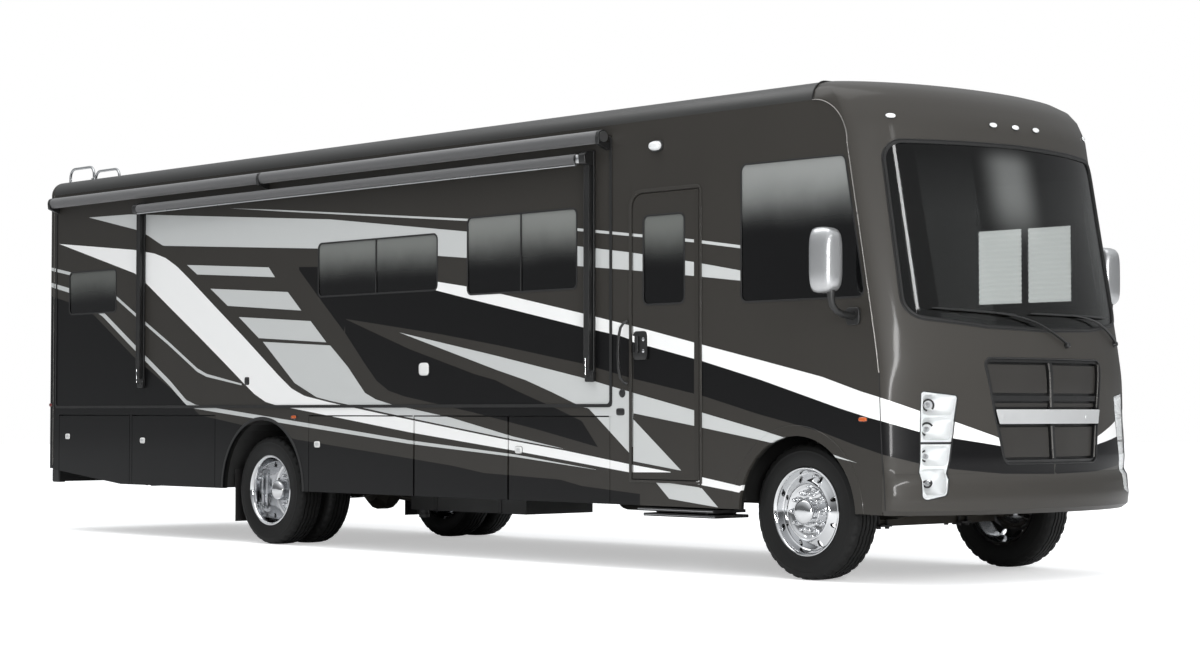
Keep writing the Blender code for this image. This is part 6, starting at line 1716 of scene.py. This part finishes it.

# %% [markdown]
# ## Underbody
# From below the coach shows its drive line, exhaust, brakes and springs. They are trimmed with what the
# CAD keeps plain: spring bolts, drums, shock absorbers, chambers and pipes. Pipes are swept along a
# few points and round parts are turned, and what belongs together is one piece.

# %% Drive line and exhaust
work = bmesh.new()
tube(work, [(-1.475, 0.0, 0.503), (-1.06, 0.0, 0.6)], 0.042, 28)
tube(work, [(-0.94, 0.0, 0.628), (1.54, 0.0, 0.64)], 0.042, 28)
tube(work, [(1.66, 0.0, 0.64), (3.94, 0.0, 0.705)], 0.042, 28)
for x, z in ((-1.475, 0.503), (-1.0, 0.614), (1.6, 0.64), (3.96, 0.706)):
    lathe(work, [(0.001, -0.06), (0.034, -0.06), (0.052, -0.042), (0.056, -0.012), (0.04, 0.0),
        (0.056, 0.012), (0.052, 0.042), (0.034, 0.06), (0.001, 0.06)], (x, 0.0, z), "x", 28)
    for turn in (0.0, pi / 2):
        c, s = cos(turn), sin(turn)
        tube(work, [(x, -0.058 * c, z - 0.058 * s), (x, 0.058 * c, z + 0.058 * s)], 0.014, 12)
piece("prop_shaft", work, "cast")
work = bmesh.new()
exhaust = [(4.2, 0.34, 0.8), (4.05, 0.4, 0.66), (3.85, 0.46, 0.5), (3.6, 0.515, 0.455), (3.0, 0.52, 0.45),
    (1.9, 0.52, 0.45)]
tube(work, exhaust, 0.032, 18)
tube(work, [(0.62, 0.52, 0.45), (-0.4, 0.52, 0.45), (-1.05, 0.51, 0.43), (-1.35, 0.505, 0.35),
    (-1.82, 0.505, 0.33), (-2.25, 0.51, 0.36), (-2.5, 0.52, 0.43), (-3.2, 0.52, 0.44), (-5.0, 0.52, 0.44),
    (-5.2, 0.54, 0.435), (-5.36, 0.56, 0.425)], 0.03, 18)
lathe(work, [(0.001, -0.5), (0.07, -0.5), (0.104, -0.47), (0.11, -0.44), (0.11, 0.44), (0.104, 0.47),
    (0.07, 0.5), (0.001, 0.5)], (1.26, 0.52, 0.435), "x", 32)
piece("exhaust", work, "cast")
work = bmesh.new()
for x in (3.3, 1.85, 0.68, -0.7, -2.9, -4.6):
    tube(work, [(x, 0.485, 0.6), (x, 0.484, 0.45), (x, 0.505, 0.412), (x, 0.535, 0.412), (x, 0.556, 0.45)],
        0.006, 8)
piece("exhaust_hangers", work, "cast")
for side, word in SIDES:
    low, high = sorted((side * 0.6, side * 1.235))
    plate = rounded([(low, 0.52, 0.03), (high, 0.52, 0.03), (high, 0.99, 0.0), (low, 0.99, 0.0)])
    shaped("splash_guard_" + word, "rubber", prism, plate, "x", 3.842, 3.848, edge=0.001)
print("exhaust pipe 60 mm")

# %% [markdown]
# Each spring is a stack of curved leaves on a U-bolted plate. Every leaf is skinned through sections along a
# parabola, shorter the lower it lies, as in a real pack.

# %% Springs, drums and dampers
work = bmesh.new()
for axle_x, length, drop in ((4.33, 0.62, 0.09), (-1.82, 0.75, 0.1)):
    for side in (-1, 1):
        y = side * 0.43
        for leaf in range(5):
            reach = length * (1.0 - 0.16 * leaf)
            points = [(axle_x + reach * (k / 10 - 1), y,
                0.5597 - drop * (1 - (reach * (k / 10 - 1) / length) ** 2) - 0.034 - 0.011 * leaf)
                for k in range(21)]
            rings = [[(x, y - 0.037, z - 0.005), (x, y + 0.037, z - 0.005), (x, y + 0.037, z + 0.004),
                (x, y - 0.037, z + 0.004)] for x, _, z in points]
            loft(work, rings)
        for way in (-1, 1):
            lathe(work, [(0.001, -0.044), (0.024, -0.044), (0.024, 0.044), (0.001, 0.044)],
                (axle_x + way * length, y, 0.537), "y", 20)
piece("spring_leaves", work, "cast", edge=0.0015)
work = bmesh.new()
for axle_x, low, high in ((4.33, 0.325, 0.52), (-1.82, 0.385, 0.53)):
    for side in (-1, 1):
        for way in (-1, 1):
            x = axle_x + way * (0.058 if axle_x > 0 else 0.082)
            for y in (0.386, 0.474):
                tube(work, [(x, side * y, low), (x, side * y, high)], 0.009, 10)
                lathe(work, [(0.001, 0.0), (0.017, 0.0), (0.017, 0.016), (0.001, 0.016)],
                    (x, side * y, low - 0.002), "z", 6)
        prism(work, rectangle(axle_x - 0.1, axle_x + 0.1, side * 0.43 - 0.058, side * 0.43 + 0.058, 0.012),
            "z", low + 0.014, low + 0.028)
piece("spring_bolts", work, "steel")
work = bmesh.new()
for side in (-1, 1):
    for low_x, high_x, foot in ((4.2, 4.02, 0.4), (-1.98, -2.16, 0.44)):
        y = side * 0.345
        tube(work, [(low_x, y, foot), (low_x + (high_x - low_x) * 0.55, y, foot + 0.16)], 0.032, 20)
        tube(work, [(low_x + (high_x - low_x) * 0.5, y, foot + 0.15), (high_x, y, foot + 0.3)], 0.019, 16)
        for x, z in ((low_x, foot), (high_x, foot + 0.3)):
            lathe(work, [(0.001, -0.03), (0.026, -0.03), (0.026, 0.03), (0.001, 0.03)], (x, y, z), "y", 18)
piece("dampers", work, "tank")
work = bmesh.new()
for side in (-1, 1):
    lathe(work, [(0.07, -0.055), (0.205, -0.055), (0.212, -0.045), (0.212, -0.03), (0.206, -0.026),
        (0.206, 0.04), (0.07, 0.055)], (-1.82, side * 0.615, 0.46), "y", 48)
piece("rear_drum_backs", work, "cast")
work = bmesh.new()
for side in (-1, 1):
    x, y, z = -1.62, side * 0.555, 0.58
    lathe(work, [(0.001, -0.055), (0.06, -0.055), (0.074, -0.03), (0.078, -0.004), (0.078, 0.004),
        (0.074, 0.03), (0.06, 0.07), (0.001, 0.07)], (x, y, z), "x", 28)
    tube(work, [(x - 0.05, y, z), (x - 0.19, y, z - 0.03)], 0.01, 10)
piece("brake_chambers", work, "tank")
work = bmesh.new()
for y in (-0.15, 0.15):
    lathe(work, [(0.001, -0.32), (0.085, -0.31), (0.118, -0.27), (0.118, 0.27), (0.085, 0.31),
        (0.001, 0.32)], (2.3, y, 0.7), "x", 32)
piece("air_tanks", work, "tank")
work = bmesh.new()
for side, lift in ((-1, 0.0), (-1, 0.022), (1, 0.0)):
    y = side * 0.375
    tube(work, [(3.9, y, 0.735 + lift), (2.6, y, 0.735 + lift), (0.0, y, 0.73 + lift),
        (-1.5, y, 0.735 + lift), (-1.75, y, 0.7 + lift)], 0.0065, 8)
piece("brake_pipes", work, "seal")
print("drums 0.42 m across")

# %% Tank straps, jacks and engine trim
work = bmesh.new()
for x in (-0.62, 0.22):
    frame_ring(work, rectangle(-0.366, 0.366, 0.294, 0.586, 0.02), rectangle(-0.3605, 0.3605, 0.2995,
        0.5805, 0.016), "x", x - 0.025, x + 0.025)
for x in (-0.78, -0.45, -0.2, 0.05, 0.38):
    prism(work, rectangle(x - 0.05, x + 0.05, -0.3, 0.3, 0.03), "z", 0.2965, 0.3005)
piece("tank_straps", work, "steel", edge=0.001)
work = bmesh.new()
lathe(work, [(0.001, 0.0), (0.045, 0.0), (0.045, 0.03), (0.03, 0.034), (0.03, 0.07), (0.001, 0.07)],
    (-0.86, -0.29, 0.235), "z", 24)
tube(work, [(-0.86, -0.29, 0.302), (-0.86, -0.29, 0.27)], 0.04, 24)
piece("tank_valve", work, "tank")
work = bmesh.new()
for x in (-3.55, 2.8):
    for side in (-1, 1):
        lathe(work, [(0.001, 0.0), (0.048, 0.0), (0.048, 0.02), (0.036, 0.024), (0.036, 0.12),
            (0.001, 0.12)], (x, side * 0.355, 0.545), "z", 24)
        lathe(work, [(0.001, 0.0), (0.09, 0.0), (0.094, 0.008), (0.09, 0.012), (0.001, 0.014)],
            (x, side * 0.355, 0.531), "z", 32)
piece("levelling_jacks", work, "steel")
work = bmesh.new()
prism(work, rounded([(4.06, 0.5, 0.03), (4.6, 0.5, 0.03), (4.66, 0.664, 0.0), (4.02, 0.664, 0.0)]), "y",
    -0.17, 0.17)
for k in range(7):
    x = 4.1 + 0.08 * k
    tube(work, [(x, -0.174, 0.52), (x, -0.174, 0.65)], 0.004, 6)
    tube(work, [(x, 0.174, 0.52), (x, 0.174, 0.65)], 0.004, 6)
piece("oil_pan", work, "tank", edge=0.008)
work = bmesh.new()
for side in (-1, 1):
    prism(work, rounded([(side * 0.306, 0.88, 0.0), (side * 0.345, 0.9, 0.02), (side * 0.345, 1.03, 0.02),
        (side * 0.306, 1.06, 0.0)]), "x", 4.08, 4.84)
    for k in range(4):
        x = 4.16 + 0.19 * k
        tube(work, [(x, side * 0.305, 0.86), (x, side * 0.355, 0.82), (x + 0.02, side * 0.36, 0.74)],
            0.022, 14)
    tube(work, [(4.12, side * 0.362, 0.735), (4.84, side * 0.362, 0.735)], 0.03, 16)
piece("manifolds", work, "cast", edge=0.004)
work = bmesh.new()
for y, z, radius in ((0.0, 0.76, 0.095), (-0.19, 0.92, 0.06), (0.19, 0.92, 0.065), (0.0, 0.98, 0.08)):
    lathe(work, [(0.001, 0.0), (radius, 0.0), (radius, 0.01), (radius - 0.008, 0.016), (radius, 0.022),
        (radius, 0.032), (0.001, 0.036)], (4.9005, y, z), "x", 32)
piece("belt_pulleys", work, "cast")
work = bmesh.new()
prism(work, rectangle(-0.4, 0.4, 0.72, 1.04, 0.02), "x", 5.02, 5.09)
for k in range(26):
    y = -0.375 + 0.03 * k
    tube(work, [(5.0185, y, 0.74), (5.0185, y, 1.02)], 0.0035, 6)
piece("radiator", work, "aluminium", edge=0.002)
print("engine trim")

# %% [markdown]
# ## Inside the cab
# The seats are leather pads. A bevelled block looks hard, so each pad is evened out and blown up a little
# by the cloth solver, which gives the uneven bulge of filled leather. The channels and seams are sunk
# afterwards, because the even mesh would blur them. One seat is made this way, and the other is a copy of
# it.

# %% Seats
CUSHIONS = [
    # name, middle x, middle z, half sizes along X, Y and Z, tilt in degrees, crown, channels
    ("cushion", 3.805, 1.527, 0.262, 0.248, 0.064, 0.0, 0.016, (-0.42, 0.42)),
    ("back", 3.523, 1.818, 0.052, 0.226, 0.262, -9.5, 0.014, (-0.42, 0.42)),
    ("headrest", 3.463, 2.158, 0.045, 0.135, 0.064, -9.5, 0.01, ()),
]


def cushion_form(half, crown, steps=12):
    """A block rounded all over, crowned on its large faces, its sides pulled in between the corners."""
    work = bmesh.new()
    bmesh.ops.create_cube(work, size=2.0)
    bmesh.ops.subdivide_edges(work, edges=work.edges, cuts=steps, use_grid_fill=True)
    thin = min(range(3), key=lambda k: half[k])
    for vertex in work.verts:
        u = list(vertex.co)
        size = sum(abs(c) ** 5 for c in u) ** 0.2
        shape = [c / size for c in u]
        rest = [k for k in range(3) if k != thin]
        bulge = (1 - shape[rest[0]] ** 2) * (1 - shape[rest[1]] ** 2)
        point = [half[k] * shape[k] for k in range(3)]
        point[thin] += copysign(crown * bulge, shape[thin]) * min(1.0, abs(shape[thin]) * 2)
        for k, other in (rest, reversed(rest)):
            point[k] *= 1 - 0.05 * (1 - shape[other] ** 2)
        vertex.co = point
    return work


def swelled(work, cap=0.01, voxel=0.011):
    """Evens out a closed form and blows it up with the cloth solver, no point further than cap."""
    form = bpy.data.meshes.new("pad_form")
    work.to_mesh(form)
    work.free()
    holder = placed("pad_form", form)
    even = holder.modifiers.new("Even mesh", "REMESH")
    even.mode, even.voxel_size = "VOXEL", voxel
    graph = bpy.context.evaluated_depsgraph_get()
    holder.data = bpy.data.meshes.new_from_object(holder.evaluated_get(graph))
    holder.modifiers.clear()
    cloth = holder.modifiers.new("Swell", "CLOTH")
    cloth.settings.use_pressure, cloth.settings.uniform_pressure_force = True, 4.0
    cloth.settings.effector_weights.gravity, cloth.settings.quality = 0.0, 4
    for step in range(1, 21):
        bpy.context.scene.frame_set(step)
    graph = bpy.context.evaluated_depsgraph_get()
    ends = [v.co.copy() for v in holder.evaluated_get(graph).data.vertices]
    for vertex, end in zip(holder.data.vertices, ends):
        move = end - vertex.co
        vertex.co += move * min(1.0, cap / max(move.length, 1e-6))
    holder.modifiers.clear()
    bpy.context.scene.frame_set(1)
    result = bmesh.new()
    result.from_mesh(holder.data)
    bpy.data.objects.remove(holder)
    return result


for name, x, z, half_x, half_y, half_z, tilt, crown, channels in CUSHIONS:
    pad = swelled(cushion_form((half_x, half_y, half_z), crown))
    for vertex in pad.verts:
        groove = sum(exp(-((vertex.co.y / half_y - at) * half_y / 0.007) ** 2) for at in channels)
        seam = exp(-((vertex.co.x if half_x < half_z else vertex.co.z) / 0.006) ** 2)
        vertex.co -= vertex.normal * (0.007 * groove + 0.003 * seam)
    lean = Matrix.Translation((x, 0.55, z)) @ Matrix.Rotation(radians(tilt), 4, "Y")
    bmesh.ops.transform(pad, matrix=lean, verts=pad.verts)
    for side, word, node in ((1, "driver", "seat_driver"), (-1, "passenger", "seat_passenger")):
        copy = pad.copy()
        if side < 0:
            bmesh.ops.translate(copy, vec=(0, -1.1, 0), verts=copy.verts)
        item = piece(f"seat_{name}_{word}", copy, "leather", smooth=70)
        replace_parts(item, node)
    pad.free()
print(len(CUSHIONS) * 2, "pads")

# %% Seat frames, arms and belts
for side, word in ((1, "driver"), (-1, "passenger")):
    y = side * 0.55
    work = bmesh.new()
    prism(work, rectangle(3.68, 3.96, y - 0.15, y + 0.15, 0.03), "z", 1.1306, 1.175)
    prism(work, rectangle(3.74, 3.9, y - 0.08, y + 0.08, 0.03), "z", 1.175, 1.4)
    prism(work, rectangle(3.62, 4.02, y - 0.19, y + 0.19, 0.02), "z", 1.4, 1.455)
    prism(work, rounded([(3.6, 1.44, 0.01), (3.64, 1.44, 0.01), (3.52, 2.08, 0.01), (3.47, 2.08, 0.01)]),
        "y", y - 0.02, y + 0.02)
    for way in (-1, 1):
        tube(work, [(3.7, y + way * 0.215, 1.462), (3.56, y + way * 0.262, 1.62), (3.545, y + way * 0.275,
            1.745)], 0.013, 12)
        tube(work, [(3.47, y + way * 0.05, 2.05), (3.463, y + way * 0.05, 2.13)], 0.007, 12)
    piece("seat_frame_" + word, work, "trim", edge=0.003)
    work = bmesh.new()
    for way in (-1, 1):
        rings = []
        for k in range(15):
            share = k / 14
            swell = sin(pi * share) ** 0.35 if 0 < share < 1 else 0.25
            x = 3.525 + 0.43 * share
            rings.append([(x, y + way * 0.275 + 0.031 * swell * cos(t), 1.783 + 0.032 * swell * sin(t))
                for t in turns(20)])
        loft(work, rings)
    item = piece("seat_arms_" + word, work, "leather", smooth=70)
    work = bmesh.new()
    belt = [(3.6, y + side * 0.265, 2.02), (3.615, y + side * 0.2, 1.93), (3.64, y, 1.76),
        (3.69, y - side * 0.2, 1.62)]
    tube(work, belt, 0.022, 8, 0.06)
    piece("seat_belt_" + word, work, "seal")
print("seat frames at x 3.8")

# %% [markdown]
# The wheel's rim is a tube swept round a tilted circle. The gauges and the screen are shallow domes, since a
# flat disc shows no highlight.

# %% Steering wheel, instruments and floor
work = bmesh.new()
tilt = Matrix.Translation((4.3, 0.55, 1.63)) @ Matrix.Rotation(radians(-25), 4, "Y")
rim = [tilt @ Vector((0.0, 0.205 * cos(t), 0.205 * sin(t))) for t in turns(64) + [tau]]
tube(work, rim, 0.0178, 16)
for y in (-0.185, 0.185):
    tube(work, [tilt @ Vector((0.0, 0.0, 0.0)), tilt @ Vector((-0.006, y * 0.5, -0.012)),
        tilt @ Vector((0.0, y, -0.02))], 0.018, 12, 0.7)
tube(work, [tilt @ Vector((-0.03, 0.0, 0.0)), tilt @ Vector((0.03, 0.0, 0.0))], 0.062, 28)
piece("steering_wheel_cover", work, "leather")
shaped("instrument_hood", "dash", prism, rounded([(4.505, 1.622, 0.01), (4.6, 1.735, 0.03),
    (4.76, 1.752, 0.03), (4.8, 1.712, 0.0), (4.62, 1.712, 0.0)]), "y", 0.3, 0.8, edge=0.006)
for k, (y, half) in enumerate(((0.43, 0.055), (0.55, 0.04), (0.67, 0.055))):
    fitting(f"gauge_{k + 1}", "coach", (4.556, y, 1.672), (-0.74, 0, 0.66), half, half * 0.8, 0.006,
        "pane", 1.0)
fitting("dash_screen", "coach", (4.524, 0.0, 1.56), (-1, 0, 0.15), 0.115, 0.07, 0.01, "pane", 0.25, 0.01)
work = bmesh.new()
for y in (-0.95, -0.55, 0.2, 0.93):
    for k in range(5):
        z = 1.52 + 0.016 * k
        tube(work, [(4.502 + 0.006 * k, y - 0.055, z), (4.502 + 0.006 * k, y + 0.055, z)], 0.004, 6)
piece("dash_vents", work, "trim")
work = bmesh.new()
planks = [(-5.3, -1.2), (2.775, -1.2), (2.775, -0.6), (3.475, -0.6), (3.475, -1.2), (4.48, -1.2),
    (4.48, 1.2), (-5.3, 1.2)]
prism(work, planks, "z", 1.1303, 1.133)
piece("floor_planks", work, "laminate")
print("cab dressed")

# %% [markdown]
# ## Studio
# A pale floor and a white backdrop, lit from above by a broad softbox, with a strip on each side of the
# nose that draws a bright line down the cap's corner. Light Path makes the world and the floor plain white
# where the camera sees them, also through glass, while the coach is lit at a plain level. The camera's place
# and lens were solved from the wheels and the edges of the body in the photograph.

# %% World, floor and lamps
world = bpy.data.worlds.new("Studio")
bpy.context.scene.world = world
world.use_nodes = True
tree = world.node_tree
rays = add(tree, "LightPath").outputs
seen = add(tree, "Math", {0: rays["Is Camera Ray"], 1: rays["Is Transmission Ray"]},
    operation="MAXIMUM").outputs[0]
way = add(tree, "SeparateXYZ", {"Vector": add(tree, "TexCoord").outputs["Generated"]}).outputs["Z"]
height = add(tree, "MapRange", {"Value": way, "From Min": 0.1, "From Max": 0.75, "To Min": 0.18,
    "To Max": 1.0})
ambient = add(tree, "Background", {"Color": (0.96, 0.98, 1.0, 1.0), "Strength": height})
backdrop = add(tree, "Background", {"Color": (1.0, 1.0, 1.0, 1.0), "Strength": 1.0})
chosen = add(tree, "MixShader", {0: seen, 1: ambient, 2: backdrop})
tree.links.new(chosen.outputs[0], tree.nodes["World Output"].inputs["Surface"])

LAMPS = [
    # name, place, aimed at, width, height, lean in degrees, watts, seen in reflections
    ("Overhead softbox", (1.0, -3.0, 11.0), (0.0, 0.0, 1.0), 14.0, 7.0, 0.0, 720.0, True),
    ("Corner strip", (11.4, -5.8, 2.6), (5.2, -1.2, 1.1), 0.5, 5.0, -48.0, 420.0, True),
    ("Windscreen strip", (14.35, -1.6, 5.95), (5.05, -1.05, 2.3), 0.34, 1.8, 0.0, 30.0, True),
    ("Front fill", (14.0, 3.0, 6.0), (5.0, 0.0, 1.5), 5.0, 3.0, 0.0, 150.0, False),
]
for name, spot, target, wide, tall, lean, watts, mirrored in LAMPS:
    lamp = bpy.data.lights.new(name, "AREA")
    lamp.shape, lamp.size, lamp.size_y, lamp.energy = "RECTANGLE", wide, tall, watts
    holder = placed(name, lamp)
    holder.location, holder.visible_glossy = spot, mirrored
    aim = (Vector(target) - Vector(spot)).to_track_quat("-Z", "Y")
    holder.rotation_euler = (aim @ Matrix.Rotation(radians(lean), 3, "Z").to_quaternion()).to_euler()

work = bmesh.new()
bmesh.ops.create_grid(work, x_segments=1, y_segments=1, size=60.0)
floor_mesh = bpy.data.meshes.new("Floor")
work.to_mesh(floor_mesh)
work.free()
floor = placed("Floor", floor_mesh)
sweep, tree, surface = shader("Seamless paper, matt white", Roughness=0.9, Specular_IOR_Level=0.1)
surface.inputs["Base Color"].default_value = (0.97, 0.97, 0.97, 1.0)
surface.inputs["Emission Color"].default_value = (1.0, 1.0, 1.0, 1.0)
rays = add(tree, "LightPath").outputs
seen = add(tree, "Math", {0: rays["Is Camera Ray"], 1: rays["Is Transmission Ray"]},
    operation="MAXIMUM").outputs[0]
lift = add(tree, "Math", {0: seen, 1: 0.46}, operation="MULTIPLY")
tree.links.new(lift.outputs[0], surface.inputs["Emission Strength"])
floor_mesh.materials.append(sweep)
print(len(LAMPS), "lamps and a floor", round(floor.dimensions.x), "m wide")

# %% Camera
camera_data = bpy.data.cameras.new("Catalogue camera")
camera_data.lens, camera_data.sensor_width = 73.78, 36.0
camera_data.clip_end = 200.0
camera = placed("Catalogue camera", camera_data)
camera.location = (15.5887, -13.2911, 1.1299)
camera.rotation_euler = (radians(92.016), 0.0, radians(47.6004))
bpy.context.scene.camera = camera
bpy.context.scene.view_settings.view_transform = "Standard"
print("camera", round((camera.location - Vector((5.5, 0, 1.1))).length, 2), "m from the nose")
